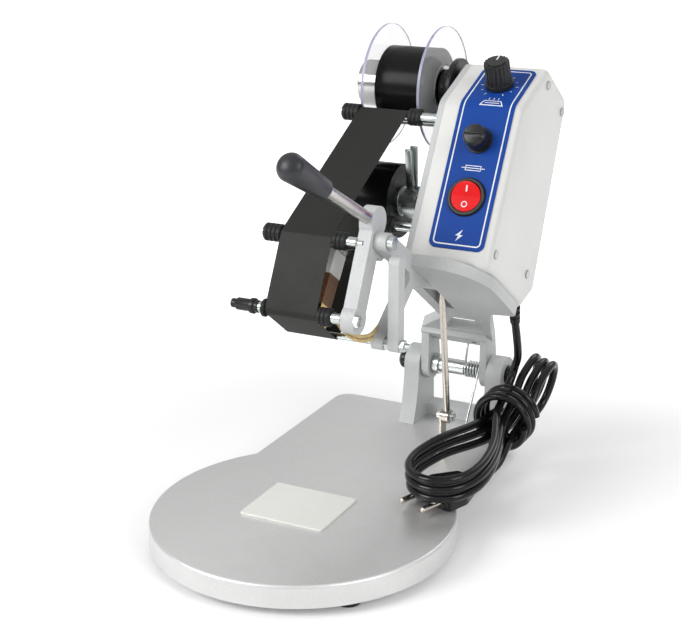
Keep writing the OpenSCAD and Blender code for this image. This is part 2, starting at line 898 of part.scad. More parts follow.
module arm_bushes() {
  color("peru")
    on_arm()
      for (x = [[left_lug_x, left_lug_x + lug_t], [right_lug_x1 - right_lug_t, right_lug_x1]])
        difference() {
          bar([0, 0], x[0], x[1], axle_d + 2 * bush_t);
          bar([0, 0], x[0] - cut, x[1] + cut, axle_d + 2 * run_gap);
        }
}

// Stud and nut that take the spring's upper leg
spring_nut_x = 44;
spring_stud_d = 4;
spring_nut_across = 8;
module spring_nut() {
  color("lightgray")
    on_arm()
      translate([spring_nut_x, -spring_nut_at.x, plate_top])
        union() {
          translate([0, 0, -plate_t])
            cylinder(h = plate_t + 6, d = spring_stud_d);
          cylinder(h = 4, d = spring_nut_across / cos(30), $fn = 6);
        }
}

// Reel plate: the left wall of the box, which carries the reels and the rear rods
takeup_bush_d = 14;
supply_shaft_d = 10;
takeup_shaft_d = 7;
rod_thread_d = 4;
module reel_plate() {
  color("gainsboro")
    on_arm()
      difference() {
        side(reel_plate_x, box_x)
          polygon(box_outline(0));
        bar(takeup_at, reel_plate_x - cut, box_x + cut, takeup_bush_d);
        bar(supply_at, reel_plate_x - cut, box_x + cut, supply_shaft_d);
        for (p = [top_rod_at, rear_rod_at])
          bar(p, reel_plate_x - cut, box_x + cut, rod_thread_d + 2 * fit_gap);
      }
}

// Box shell: one moulding, open towards the reel plate, with rounded right-hand edges
shell_edge = 5;
box_screw_points = [[97, 165], [133, 167], [149, 40], [86, 50]];
box_screw_d = 3;
box_screw_head_d = 6;
box_screw_head_h = 1.2;
front_len = norm(box_points[1] - box_points[0]);
rocker_along = 0.412 * front_len;
fuse_along = 0.768 * front_len;
knob_along = 0.46 * norm(box_points[2] - box_points[1]);
bezel_body_d = 22.6;
fuse_body_d = 12;
pot_bush_d = 7;
shell_rings = [
  [box_x, 0],
  for (a = [0:30:90]) [box_x1 - shell_edge * (1 - sin(a)), shell_edge * (1 - cos(a))]
];
module shell_solid() {
  m = len(box_outline(0));
  n = len(shell_rings);
  polyhedron(
    [for (ring = shell_rings, p = box_outline(ring[1])) [ring[0], -p.x, p.y]],
    concat(
      [[for (k = [m - 1:-1:0]) k], [for (k = [0:m - 1]) (n - 1) * m + k]],
      [
        for (i = [0:n - 2], k = [0:m - 1])
          let (a = i * m + k, b = i * m + (k + 1) % m)
          each [[a, b, b + m], [a, b + m, a + m]]
      ]
    )
  );
}
module box_shell() {
  color("whitesmoke")
    on_arm()
      difference() {
        shell_solid();
        side(box_x - cut, box_x1 - box_wall)
          polygon(box_outline(box_wall));
        on_face(box_points[0], box_points[1], rocker_along)
          translate([panel_mid_x, 0, -2 * box_wall])
            cylinder(h = 3 * box_wall, d = bezel_body_d + 2 * fit_gap);
        on_face(box_points[0], box_points[1], fuse_along)
          translate([panel_mid_x, 0, -2 * box_wall])
            cylinder(h = 3 * box_wall, d = fuse_body_d + 2 * fit_gap);
        on_face(box_points[1], box_points[2], knob_along)
          translate([panel_mid_x, 0, -2 * box_wall])
            cylinder(h = 3 * box_wall, d = pot_bush_d + 2 * fit_gap);
        on_face(gland_a, gland_b, norm(gland_b - gland_a) / 2)
          translate([gland_x, 0, -2 * box_wall])
            cylinder(h = 3 * box_wall, d = gland_tip_d + 2 * fit_gap);
        translate([rod_x - slot_w / 2, -slot_u - slot_len, plate_top - cut])
          cube([slot_w, slot_len, box_wall + 2 * cut]);
        for (p = box_screw_points)
          bar(p, box_x1 - box_wall - cut, box_x1 + cut, box_screw_d + 2 * fit_gap);
      }
}

// Screws through the right face into posts on the reel plate
post_d = 5;
module box_screws() {
  color("gray")
    on_arm()
      for (p = box_screw_points)
        union() {
          bar(p, box_x + fit_gap, box_x1 - box_wall - fit_gap, post_d);
          bar(p, box_x1 - box_wall - cut, box_x1, box_screw_d);
          bar(p, box_x1, box_x1 + box_screw_head_h, box_screw_head_d);
        }
}

// Blue panel: a thin plate bent over the front and the slanted face
panel_low = 9.5;
panel_corner_r = 5;
panel_clip = [
  [box_front - 20, plate_top + panel_low], [box_front + 40, plate_top + panel_low],
  [box_front + 40, plate_top + box_h + 20], [box_top_front + 1, plate_top + box_h + 20],
  [box_top_front + 1, plate_top + box_h - 8], [box_front - 20, plate_top + bend_h]
];
module panel_corner(p, q, along, s, up) {
  on_face(p, q, along)
    translate([panel_mid_x + s * (panel_w / 2 - panel_corner_r), -up * panel_corner_r, -cut])
      linear_extrude(3 * cut)
        difference() {
          scale([s, up])
            square(panel_corner_r + cut);
          circle(panel_corner_r + 0.02);
        }
}
panel_top_along = norm(box_points[2] - box_points[1]) - 4;
module control_panel() {
  a = box_points[0];
  b = box_points[1];
  c = box_points[2];
  color("royalblue")
    on_arm()
      difference() {
        side(panel_mid_x - panel_w / 2, panel_mid_x + panel_w / 2)
          intersection() {
            difference() {
              polygon(box_outline(-panel_t));
              polygon(box_outline(0));
            }
            polygon(panel_clip);
          }
        on_face(a, b, rocker_along)
          translate([panel_mid_x, 0, -cut])
            cylinder(h = 3 * cut, d = bezel_body_d + 2 * fit_gap);
        on_face(a, b, fuse_along)
          translate([panel_mid_x, 0, -cut])
            cylinder(h = 3 * cut, d = fuse_body_d + 2 * fit_gap);
        on_face(b, c, knob_along)
          translate([panel_mid_x, 0, -cut])
            cylinder(h = 3 * cut, d = pot_bush_d + 2 * fit_gap);
        for (s = [-1, 1]) {
          panel_corner(a, b, panel_low, s, -1);
          panel_corner(b, c, panel_top_along, s, 1);
        }
      }
}

// Round power switch: fixed bezel and body, with a rocker that tilts in it
bezel_t = 2;
bezel_body_len = 20;
rocker_d = 20;
rocker_throw = 8;
rocker_axis_out = 2;
rocker_low = -5;
rocker_mid = 0.4;
module switch_bezel() {
  color([0.1, 0.1, 0.11])
    on_arm()
      on_face(box_points[0], box_points[1], rocker_along)
        translate([panel_mid_x, 0, 0])
          difference() {
            union() {
              translate([0, 0, -bezel_body_len])
                cylinder(h = bezel_body_len + panel_t, d = bezel_body_d);
              translate([0, 0, panel_t])
                rotate_extrude()
                  polygon([[0, 0], [bezel_d / 2, 0], [bezel_d / 2 - 0.8, bezel_t], [0, bezel_t]]);
            }
            translate([0, 0, -9])
              cylinder(h = 20, d = rocker_d + 2 * air_gap);
          }
}
module power_rocker() {
  rocker_rise = rocker_mid + rocker_d * tan(rocker_throw);
  color("red")
    on_arm()
      on_face(box_points[0], box_points[1], rocker_along)
        translate([panel_mid_x, 0, rocker_axis_out])
          rotate([rocker_throw, 0, 0])
            intersection() {
              sphere(d = rocker_d);
              translate([-rocker_d, 0, 0])
                rotate([90, 0, 90])
                  linear_extrude(2 * rocker_d)
                    polygon([
                      [-rocker_d, rocker_low], [rocker_d, rocker_low],
                      [rocker_d, rocker_rise], [0, rocker_mid], [-rocker_d, rocker_rise]
                    ]);
            }
}

// Fuse holder with a fluted bayonet cap
fuse_body_len = 26;
fuse_cap_d = 16;
fuse_cap_h = 10.5;
fuse_flange_t = 1.5;
module fuse_holder() {
  color([0.12, 0.12, 0.12])
    on_arm()
      on_face(box_points[0], box_points[1], fuse_along)
        translate([panel_mid_x, 0, 0])
          union() {
            translate([0, 0, -fuse_body_len])
              cylinder(h = fuse_body_len + panel_t, d = fuse_body_d);
            translate([0, 0, panel_t])
              cylinder(h = fuse_flange_t, d = fuse_cap_d + 2);
            translate([0, 0, -box_wall - 3])
              cylinder(h = 3, d = 18, $fn = 6);
          }
}
module fuse_cap() {
  flutes = 16;
  color([0.08, 0.08, 0.08])
    on_arm()
      on_face(box_points[0], box_points[1], fuse_along)
        translate([panel_mid_x, 0, panel_t + fuse_flange_t + air_gap])
          difference() {
            rotate_extrude()
              polygon([
                [0, 0], [fuse_cap_d / 2, 0], [fuse_cap_d / 2 - 0.5, fuse_cap_h - 1.5],
                [fuse_cap_d / 2 - 2, fuse_cap_h], [0, fuse_cap_h]
              ]);
            for (i = [0:flutes - 1])
              rotate([0, 0, (i + 0.5) * 360 / flutes])
                translate([fuse_cap_d / 2 + 0.3, 0, 2])
                  cylinder(h = fuse_cap_h, r = 0.9);
            translate([-fuse_cap_d / 2, -0.6, fuse_cap_h - 1])
              cube([fuse_cap_d, 1.2, 2]);
          }
}

// Potentiometer behind the slanted face, with a fluted knob on its shaft
pot_d = 16;
pot_len = 9;
pot_shaft_d = 6;
pot_shaft_len = 13;
module potentiometer() {
  color("darkgray")
    on_arm()
      on_face(box_points[1], box_points[2], knob_along)
        translate([panel_mid_x, 0, 0])
          union() {
            translate([0, 0, -box_wall - pot_len])
              cylinder(h = pot_len, d = pot_d);
            translate([0, 0, -box_wall])
              cylinder(h = box_wall + panel_t + 2, d = pot_bush_d);
            translate([0, 0, panel_t])
              cylinder(h = pot_shaft_len, d = pot_shaft_d);
          }
}
module temperature_knob() {
  flutes = 18;
  lift = panel_t + 0.6;
  color([0.1, 0.1, 0.1])
    on_arm()
      on_face(box_points[1], box_points[2], knob_along)
        translate([panel_mid_x, 0, lift])
          difference() {
            union() {
              cylinder(h = 3, d = knob_d + 2);
              linear_extrude(knob_h - 1)
                polygon([
                  for (i = [0:4 * flutes - 1])
                    let (a = i * 90 / flutes, r = knob_d / 2 - (i % 4 == 0 ? 0.9 : i % 4 == 2 ? 0 : 0.2))
                    r * [cos(a), sin(a)]
                ]);
              cylinder(h = knob_h, d = knob_d - 4);
            }
            translate([0, 0, -cut])
              cylinder(h = pot_shaft_len - lift + panel_t + 0.2 + cut, d = pot_shaft_d + 2 * run_gap);
            translate([0, 0, -cut])
              cylinder(h = 3 - lift + cut, d = pot_bush_d + 1);
          }
}

// Control board on the inside of the right wall
board_t = 1.6;
board_x = box_x1 - box_wall - 8;
module control_board() {
  color("darkgreen")
    on_arm()
      union() {
        translate([board_x, -125, 70])
          cube([board_t, 32, 70]);
        translate([board_x - 14, -118, 84])
          cube([14, 16, 18]);
        translate([board_x - 9, -120, 112])
          cube([9, 20, 14]);
        for (z = [74, 136])
          bar([109, z], board_x + board_t, box_x1 - box_wall, 6);
      }
}

// Strain relief on the slanted rear underside of the box
module cord_gland() {
  color([0.09, 0.09, 0.1])
    on_arm()
      on_face(gland_a, gland_b, norm(gland_b - gland_a) / 2)
        translate([gland_x, 0, 0])
          difference() {
            union() {
              translate([0, 0, -box_wall - 2])
                cylinder(h = box_wall + 3, d = gland_tip_d);
              rotate_extrude()
                polygon([
                  [0, 0], [gland_root_d / 2, 0], [gland_root_d / 2, 2], [gland_tip_d / 2 + 0.6, 3],
                  [gland_tip_d / 2 - 0.6, gland_len], [0, gland_len]
                ]);
              translate([0, 0, -box_wall - 3])
                cylinder(h = 3, d = gland_root_d);
            }
            for (i = [0:2])
              translate([0, 0, 6 + i * 4])
                difference() {
                  cylinder(h = 1.5, d = gland_root_d);
                  cylinder(h = 1.5, d = gland_tip_d - 2);
                }
          }
}

// Front link: a cast lever with a boss for the handle and one for the lower rod
link_x = plate_x;
link_t = 9;
link_x1 = link_x + link_t;
link_top_r = 10;
link_low_r = 9;
link_bar_r = 7;
link_screw_d = 5;
handle_pitch = -7;
thread_d = 5;
module front_link() {
  color("gainsboro")
    on_arm()
      difference() {
        side(link_x, link_x1)
          union() {
            translate(link_top)
              circle(link_top_r);
            translate(link_low)
              circle(link_low_r);
            slot_2d(link_top, link_low, link_bar_r);
            slot_2d(link_screw_at, [head_u + 4, bar_low + head_bar_h / 2], 6);
          }
        bar(upper_rod_at, link_x - cut, link_x + link_t / 2, rod_thread_d + 2 * fit_gap);
        bar(lower_rod_at, link_x - cut, link_x1 + cut, rod_thread_d + 2 * fit_gap);
        bar(link_screw_at, link_x - cut, link_x1 + cut, link_screw_d + 2 * fit_gap);
        translate([link_x + link_t / 2, -link_top.x, link_top.y])
          rotate([90 - handle_pitch, 0, 0])
            cylinder(h = 2 * link_top_r, d = thread_d + 2 * fit_gap);
      }
}
module link_nuts() {
  lug_x = lug_x0 + lug_w;
  color("lightgray")
    on_arm()
      union() {
        bar(link_screw_at, link_x, lug_x + 1, link_screw_d);
        bar(link_screw_at, lug_x, lug_x + 4, 9);
        difference() {
          hexagon(lower_rod_at, link_x1, link_x1 + 3.2, 7);
          bar(lower_rod_at, link_x1 - cut, link_x1 + 5, rod_thread_d + 2 * fit_gap);
        }
      }
}

// Handle: chrome rod screwed into the link and a tapered plastic grip
grip_d0 = 13;
grip_d1 = 17;
grip_socket = 20;
module along_handle(start) {
  translate([link_x + link_t / 2, -link_top.x, link_top.y])
    rotate([90 - handle_pitch, 0, 0])
      translate([0, 0, start])
        children();
}
module handle_rod() {
  color("lightgray")
    on_arm()
      union() {
        along_handle(1)
          cylinder(h = link_top_r, d = thread_d);
        along_handle(link_top_r)
          cylinder(h = handle_len + grip_socket, d = handle_d);
      }
}
module handle_grip() {
  color([0.2, 0.21, 0.23])
    on_arm()
      along_handle(link_top_r + handle_len)
        difference() {
          rotate_extrude()
            polygon(concat(
              [[0, 0], [grip_d0 / 2 - 1, 0], [grip_d0 / 2, 1]],
              arc([grip_d1 / 2 - 4, grip_len - 4], 4, 5, 90, 6),
              [[0, grip_len]]
            ));
          translate([0, 0, -cut])
            cylinder(h = grip_socket + cut, d = handle_d);
        }
}

// Printing head: bar, insulator, carrier, heated block and type, stacked downwards
head_bar_h = 6;
bar_low = 14;
insulator_h = 16;
carrier_h = 20;
heater_h = 8;
head_depth = 18;
type_h = 6.2;
insulator_low = bar_low - insulator_h;
carrier_low = insulator_low - carrier_h;
heater_low = carrier_low - heater_h;
type_low = heater_low - type_h;
cartridge_d = 6;
module head_block(u, w0, w1, x0, x1, depth) {
  translate([x0, -u - depth / 2, w0])
    cube([x1 - x0, depth, w1 - w0]);
}
module head_bar() {
  color("lightgray")
    on_arm()
      difference() {
        head_block(head_u, bar_low, bar_low + head_bar_h, head_x, link_x, head_depth);
        for (x = [head_x + 7, head_x + head_len - 7])
          translate([x, -head_u, bar_low + head_bar_h - 2])
            cylinder(h = 3, d = 6);
      }
}
module insulator_block() {
  color("white")
    on_arm()
      head_block(head_u, insulator_low, bar_low, head_x, head_x + head_len, head_depth - 2);
}
module carrier_block() {
  color("saddlebrown")
    on_arm()
      difference() {
        head_block(head_u, carrier_low, insulator_low, head_x, head_x + head_len, head_depth - 4);
        bar([head_u, carrier_low + 10], head_x - cut, head_x + 5, 4);
      }
}
module heating_block() {
  color("goldenrod")
    on_arm()
      difference() {
        head_block(head_u, heater_low, carrier_low, head_x, head_x + head_len, head_depth - 4);
        bar(
          [head_u, heater_low + heater_h / 2], head_x - cut, head_x + head_len + cut,
          cartridge_d + 2 * fit_gap
        );
      }
}
module heater_cartridge() {
  color("darkgray")
    on_arm()
      bar([head_u, heater_low + heater_h / 2], head_x - 1, head_x + head_len + 4, cartridge_d);
}
holder_wall = 2;
slug_w = 2.8;
slug_count = 7;
slug_gap = 0.2;
module type_holder() {
  color("darkgoldenrod")
    on_arm()
      difference() {
        head_block(head_u, type_low + 1.2, heater_low, head_x, head_x + head_len, 14);
        head_block(
          head_u, type_low - cut, heater_low - 1.5, head_x + holder_wall, head_x + head_len - holder_wall, 8
        );
        bar(
          [head_u, heater_low - 2.6], head_x + head_len - holder_wall - cut, head_x + head_len + cut,
          2 + 2 * fit_gap
        );
      }
}
module type_slugs() {
  color("goldenrod")
    on_arm()
      for (i = [0:slug_count - 1])
        head_block(
          head_u, type_low, heater_low - 1.5,
          head_x + holder_wall + i * (slug_w + slug_gap),
          head_x + holder_wall + i * (slug_w + slug_gap) + slug_w,
          8 - 2 * fit_gap
        );
}
module type_screw() {
  at = [head_u, heater_low - 2.6];
  color("gold")
    on_arm()
      union() {
        bar(at, head_x + head_len - holder_wall, head_x + head_len + 1, 2);
        bar(at, head_x + head_len + fit_gap, head_x + head_len + 4, 5);
      }
}

// Support leg clamped on the low ribbon rod
leg_x = 53;
leg_w = 7;
leg_r = 4.5;
leg_top = [203, 8];
module support_leg() {
  color("gainsboro")
    on_arm()
      difference() {
        side(leg_x, leg_x + leg_w)
          slot_2d(leg_top, low_rod_at, leg_r);
        bar(low_rod_at, leg_x - cut, leg_x + leg_w + cut, low_rod_d + 2 * fit_gap);
      }
}

// Guide rods: two on the reel plate, two on the front link, and the low rod on its leg
rod_over = 14;
lower_rod_over = 6;
module guide_rod(p, x0, x1, d, thread) {
  union() {
    bar(p, x0, x1, d);
    bar(p, x1 - cut, x1 + thread, rod_thread_d);
  }
}
module guide_rods() {
  color("silver")
    on_arm() {
      guide_rod(top_rod_at, ribbon_x - rod_over, reel_plate_x, guide_d, reel_plate_t);
      guide_rod(rear_rod_at, ribbon_x - rod_over, reel_plate_x, guide_d, reel_plate_t);
      guide_rod(upper_rod_at, ribbon_x - rod_over, link_x, guide_d, link_t / 2 - 0.5);
      guide_rod(lower_rod_at, ribbon_x - lower_rod_over, link_x, guide_d, link_t + 3.2);
      union() {
        bar(low_rod_at, ribbon_x - 2, leg_x + leg_w + 6, low_rod_d);
        hexagon(low_rod_at, lug_x0 + lug_w, leg_x, 7);
        hexagon(low_rod_at, leg_x + leg_w, leg_x + leg_w + 3.2, 7);
      }
    }
}

// Rubber collars beside the ribbon on each guide rod, and the long knob of the lower rod
collar_d = 11.6;
collar_edge = 0.7;
left_collar = 12;
right_collar = 8.5;
lower_collar = 2.5;
module guide_collar(p, x, w) {
  difference() {
    translate([x, -p.x, p.y])
      rotate([0, 90, 0])
        rotate_extrude()
          polygon([
            [0, 0], [collar_d / 2 - collar_edge, 0], [collar_d / 2, collar_edge],
            [collar_d / 2, w - collar_edge], [collar_d / 2 - collar_edge, w], [0, w]
          ]);
    bar(p, x - cut, x + w + cut, guide_d);
  }
}
module guide_rings() {
  color([0.08, 0.08, 0.08])
    on_arm() {
      for (p = [top_rod_at, rear_rod_at, upper_rod_at])
        guide_collar(p, ribbon_x - 0.5 - left_collar, left_collar);
      guide_collar(lower_rod_at, ribbon_x - 0.5 - lower_collar, lower_collar);
      for (p = [top_rod_at, rear_rod_at, upper_rod_at, lower_rod_at])
        guide_collar(p, ribbon_x1 + 0.5, right_collar);
    }
}
knob_len = 16;
module rod_knob() {
  x1 = ribbon_x - lower_rod_over;
  color([0.1, 0.1, 0.1])
    on_arm()
      union() {
        bar(lower_rod_at, x1 - knob_len, x1, 8);
        bar(lower_rod_at, x1 - knob_len - 4, x1 - knob_len, 6);
        bar(lower_rod_at, x1 - 6, x1 - 3, 10);
      }
}

// Ribbon: a film led over the rods and under the type, between the two rolls
// A stop is a centre and a radius, negative where the film passes on its other side
film_gap = 0.1;
wrap_steps = 12;
wrap_r = guide_d / 2 + ribbon_t / 2 + film_gap;
low_wrap_r = low_rod_d / 2 + ribbon_t / 2 + film_gap;
function touch(a, ra, b, rb) =
  let (
    v = b - a,
    n = norm(v),
    h = asin((ra - rb) / n),
    t = atan2(v.y, v.x) + 90 - h
  )
  [a + ra * [cos(t), sin(t)], b + rb * [cos(t), sin(t)]];
function turn_round(c, r, p, q, n) =
  let (
    a0 = atan2(p.y - c.y, p.x - c.x),
    d = (atan2(q.y - c.y, q.x - c.x) - a0 + 720) % 360,
    swing = r > 0 && d > 0 ? d - 360 : d
  )
  arc(c, abs(r), a0, a0 + swing, n);
ribbon_stops = [
  [supply_at, -supply_r - air_gap - ribbon_t / 2], [top_rod_at, wrap_r], [upper_rod_at, wrap_r],
  [lower_rod_at, wrap_r], [low_rod_at, low_wrap_r], [rear_rod_at, -wrap_r],
  [takeup_at, takeup_r + air_gap + ribbon_t / 2]
];
ribbon_lines = [
  for (i = [0:5])
    touch(ribbon_stops[i][0], ribbon_stops[i][1], ribbon_stops[i + 1][0], ribbon_stops[i + 1][1])
];
ribbon_line = concat(
  [ribbon_lines[0][0]],
  [
    for (i = [1:5])
      each turn_round(
        ribbon_stops[i][0], ribbon_stops[i][1], ribbon_lines[i - 1][1], ribbon_lines[i][0], wrap_steps
      )
  ],
  [ribbon_lines[5][1]]
);
function strip(pts, t) =
  let (
    m = len(pts),
    n = [
      for (i = [0:m - 1])
        let (d = unit(pts[min(i + 1, m - 1)] - pts[max(i - 1, 0)]))
        [-d.y, d.x] * t / 2
    ]
  )
  concat([for (i = [0:m - 1]) pts[i] + n[i]], [for (i = [m - 1:-1:0]) pts[i] - n[i]]);
module ribbon() {
  color([0.2, 0.2, 0.19])
    on_arm()
      side(ribbon_x, ribbon_x1)
        polygon(strip(ribbon_line, ribbon_t));
}

// Supply reel on a fixed shaft, braked by a stepped hub beside the reel plate
flange_t = 2;
flange_x = ribbon_x - 3;
flange_x1 = ribbon_x1 + 2.5;
hub_d = 32;
hub_out = 16;
supply_end_x = flange_x - hub_out - 2;
module supply_shaft() {
  color("lightgray")
    on_arm()
      union() {
        bar(supply_at, supply_end_x, box_x, supply_shaft_d);
        bar(supply_at, box_x - cut, box_x + 6, supply_shaft_d / 2);
        hexagon(supply_at, box_x, box_x + 4, 8);
      }
}
drag_gap = 0.5;
drag_d = 26;
drag_w = 8;
drag_disc_d = 42;
drag_disc_t = 4;
drag_x = flange_x1 + flange_t + drag_gap;
module drag_hub() {
  color([0.12, 0.12, 0.13])
    on_arm()
      difference() {
        union() {
          bar(supply_at, drag_x, reel_plate_x, drag_d);
          bar(supply_at, drag_x + drag_w, drag_x + drag_w + drag_disc_t, drag_disc_d);
        }
        bar(supply_at, ribbon_x1, reel_plate_x + cut, supply_shaft_d);
      }
}
module reel_flanges() {
  color([0.85, 0.88, 0.95, 0.4])
    on_arm()
      for (x = [flange_x, flange_x1])
        difference() {
          bar(supply_at, x, x + flange_t, 2 * flange_r);
          bar(supply_at, x - cut, x + flange_t + cut, hub_d);
        }
}
module supply_roll() {
  color([0.08, 0.08, 0.08])
    on_arm()
      difference() {
        bar(supply_at, ribbon_x, ribbon_x1, 2 * supply_r);
        bar(supply_at, ribbon_x - cut, ribbon_x1 + cut, hub_d);
      }
}
module reel_hub() {
  color("silver")
    on_arm()
      difference() {
        bar(supply_at, flange_x - hub_out, flange_x1 + flange_t, hub_d);
        bar(supply_at, ribbon_x - 40, ribbon_x1 + 40, supply_shaft_d + 2 * run_gap);
      }
}

// Take-up reel: shaft in a bush, turned by a crank inside the box
core_d = 20;
crank_x = 50;
crank_t = 3;
crank_r = 18.85;
crank_angle = 248;
crank_boss_d = 16;
crank_tip_r = 3.5;
takeup_end_x = crank_x + crank_t + 5;
module takeup_bush() {
  color("peru")
    on_arm()
      difference() {
        union() {
          bar(takeup_at, reel_plate_x - 3, box_x + 0.5, takeup_bush_d);
          bar(takeup_at, reel_plate_x - 3, reel_plate_x, takeup_bush_d + 6);
        }
        bar(takeup_at, reel_plate_x - 4, box_x + 4, takeup_shaft_d + 2 * run_gap);
      }
}
module takeup_shaft() {
  color("silver")
    on_arm()
      union() {
        bar(takeup_at, ribbon_x - 4, takeup_end_x, takeup_shaft_d);
        bar(takeup_at, ribbon_x - 2, ribbon_x1 + 1, core_d);
      }
}
module takeup_roll() {
  color([0.07, 0.07, 0.07])
    on_arm()
      difference() {
        bar(takeup_at, ribbon_x, ribbon_x1, 2 * takeup_r);
        bar(takeup_at, ribbon_x - cut, ribbon_x1 + cut, core_d);
      }
}
crank_pin_at = takeup_at + crank_r * [cos(crank_angle), sin(crank_angle)];
module feed_crank() {
  color("lightgray")
    on_arm()
      difference() {
        union() {
          side(crank_x, crank_x + crank_t)
            slot_2d(takeup_at, crank_pin_at, crank_tip_r);
          bar(takeup_at, crank_x, crank_x + crank_t + 4, crank_boss_d);
          bar(crank_pin_at, rod_x + feed_rod_d / 2 + air_gap, crank_x + crank_t, rod_pin_d);
        }
        bar(takeup_at, crank_x - cut, crank_x + crank_t + 5, takeup_shaft_d + 2 * run_gap);
      }
}

// Feed rod from the base bracket up through the arm plate towards the crank
eye_d = 10;
rod_aim = raised(crank_pin_at) - [rod_pivot_y, rod_pivot_h];
feed_rod_len = norm(rod_aim);
module feed_rod() {
  color("lightgray")
    placed()
      translate([rod_x, rod_pivot_y, rod_pivot_h])
        rotate([-atan2(rod_aim.x, rod_aim.y), 0, 0])
          difference() {
            union() {
              cylinder(h = feed_rod_len, d = feed_rod_d);
              rotate([0, 90, 0])
                cylinder(h = feed_rod_d, d = eye_d, center = true);
              translate([0, 0, feed_rod_len])
                rotate([0, 90, 0])
                  cylinder(h = feed_rod_d, r = crank_tip_r, center = true);
            }
            rotate([0, 90, 0])
              cylinder(h = 2 * feed_rod_d, d = rod_pin_d + 2 * run_gap, center = true);
            translate([0, 0, feed_rod_len])
              rotate([0, 90, 0])
                cylinder(h = 2 * feed_rod_d, d = rod_pin_d + 2 * fit_gap, center = true);
          }
}

// Tension lever: a boss on the take-up bush with a forked stem
lever_x = 20;
lever_t = 7;
lever_boss_d = 22;
lever_len = 36;
lever_angle = 50;
module tension_lever() {
  tip = takeup_at + lever_len * [cos(lever_angle), sin(lever_angle)];
  root = takeup_at + 6 * [cos(lever_angle), sin(lever_angle)];
  across = 3.2 * [-sin(lever_angle), cos(lever_angle)];
  color("lightsteelblue")
    on_arm()
      difference() {
        union() {
          bar(takeup_at, lever_x, lever_x + lever_t + 3, lever_boss_d);
          side(lever_x + 1, lever_x + lever_t - 1)
            union() {
              slot_2d(root + across * 0.6, tip + across * 0.6, 1.7);
              slot_2d(root - across * 0.6, tip - across * 0.6, 1.7);
            }
        }
        bar(takeup_at, lever_x - cut, lever_x + lever_t + 4, takeup_shaft_d + 2 * run_gap);
      }
}

base_plate();
rubber_feet();
foot_screws();
print_pad();
pivot_bracket();
bracket_bolts();
pivot_axle();
axle_caps();
axle_sleeve();
return_spring();
rod_bracket();
rod_screws();
power_cord();
cord_hank();
cord_tie();
plug_body();
plug_pins();
arm_frame();
arm_bushes();
reel_plate();
box_shell();
box_screws();
control_panel();
switch_bezel();
fuse_holder();
potentiometer();
control_board();
cord_gland();
spring_nut();
front_link();
link_nuts();
handle_rod();
handle_grip();
head_bar();
insulator_block();
carrier_block();
heating_block();
heater_cartridge();
type_holder();
type_slugs();
type_screw();
support_leg();
guide_rods();
guide_rings();
rod_knob();
ribbon();
supply_shaft();
drag_hub();
takeup_bush();
reel_flanges();
supply_roll();
reel_hub();
takeup_shaft();
takeup_roll();
feed_crank();
feed_rod();
tension_lever();
temperature_knob();
power_rocker();
fuse_cap();
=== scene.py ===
"""Looks of a manual desk date coder: a cast base, a swing-up arm with ribbon reels, a heated
type head on the arm's front, a slanted control box and a tied power cord. Metres throughout."""
import json
import math

import bmesh
import bpy
from mathutils import Matrix, Vector
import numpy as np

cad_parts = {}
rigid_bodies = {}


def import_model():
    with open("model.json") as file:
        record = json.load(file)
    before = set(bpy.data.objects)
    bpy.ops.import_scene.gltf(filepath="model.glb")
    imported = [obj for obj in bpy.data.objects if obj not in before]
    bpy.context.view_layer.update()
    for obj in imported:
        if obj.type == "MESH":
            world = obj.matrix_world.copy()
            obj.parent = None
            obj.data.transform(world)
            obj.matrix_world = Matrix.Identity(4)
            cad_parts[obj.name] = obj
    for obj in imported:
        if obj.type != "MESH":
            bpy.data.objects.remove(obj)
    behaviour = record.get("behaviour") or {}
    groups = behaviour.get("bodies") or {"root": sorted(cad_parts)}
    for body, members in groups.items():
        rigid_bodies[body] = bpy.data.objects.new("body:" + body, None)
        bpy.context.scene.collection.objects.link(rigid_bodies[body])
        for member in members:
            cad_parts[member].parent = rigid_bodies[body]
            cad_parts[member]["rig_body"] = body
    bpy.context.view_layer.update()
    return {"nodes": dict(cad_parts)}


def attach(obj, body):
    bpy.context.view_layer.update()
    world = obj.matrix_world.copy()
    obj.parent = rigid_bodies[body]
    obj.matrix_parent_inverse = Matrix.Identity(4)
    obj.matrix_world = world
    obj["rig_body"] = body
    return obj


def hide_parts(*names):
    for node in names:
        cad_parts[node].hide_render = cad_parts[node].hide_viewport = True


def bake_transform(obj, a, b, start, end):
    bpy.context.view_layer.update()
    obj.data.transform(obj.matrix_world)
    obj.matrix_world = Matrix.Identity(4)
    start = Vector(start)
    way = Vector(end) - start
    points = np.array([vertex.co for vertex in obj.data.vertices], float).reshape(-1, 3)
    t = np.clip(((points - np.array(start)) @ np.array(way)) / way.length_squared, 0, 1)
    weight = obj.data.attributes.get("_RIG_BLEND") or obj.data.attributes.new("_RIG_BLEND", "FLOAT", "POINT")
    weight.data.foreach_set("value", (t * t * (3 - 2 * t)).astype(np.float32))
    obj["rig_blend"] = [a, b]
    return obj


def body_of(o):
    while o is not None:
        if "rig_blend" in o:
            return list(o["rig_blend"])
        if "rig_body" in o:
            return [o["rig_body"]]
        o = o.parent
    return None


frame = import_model()


# Camera: a long lens a metre off, above the table and to the right of the nose, from where the
# base, the blue panel and the reels all show.
scene = bpy.context.scene
scene.view_settings.view_transform = "Standard"
camera_data = bpy.data.cameras.new("camera")
camera_data.sensor_width = 36.0
camera_data.lens = 79.302
camera = bpy.data.objects.new("camera", camera_data)
camera.location = (0.43616, -0.82493, 0.454005)
camera.rotation_euler = (math.radians(71.1297), math.radians(0.8687), math.radians(27.6491))
scene.collection.objects.link(camera)
scene.camera = camera


# Studio: a large soft lamp in front on the left, a weaker one on the right and one behind, in an
# even pale room that is a little darker at eye level, so that bright metal has something to show.
lamp_aim = Vector((0.0, 0.0, 0.12))


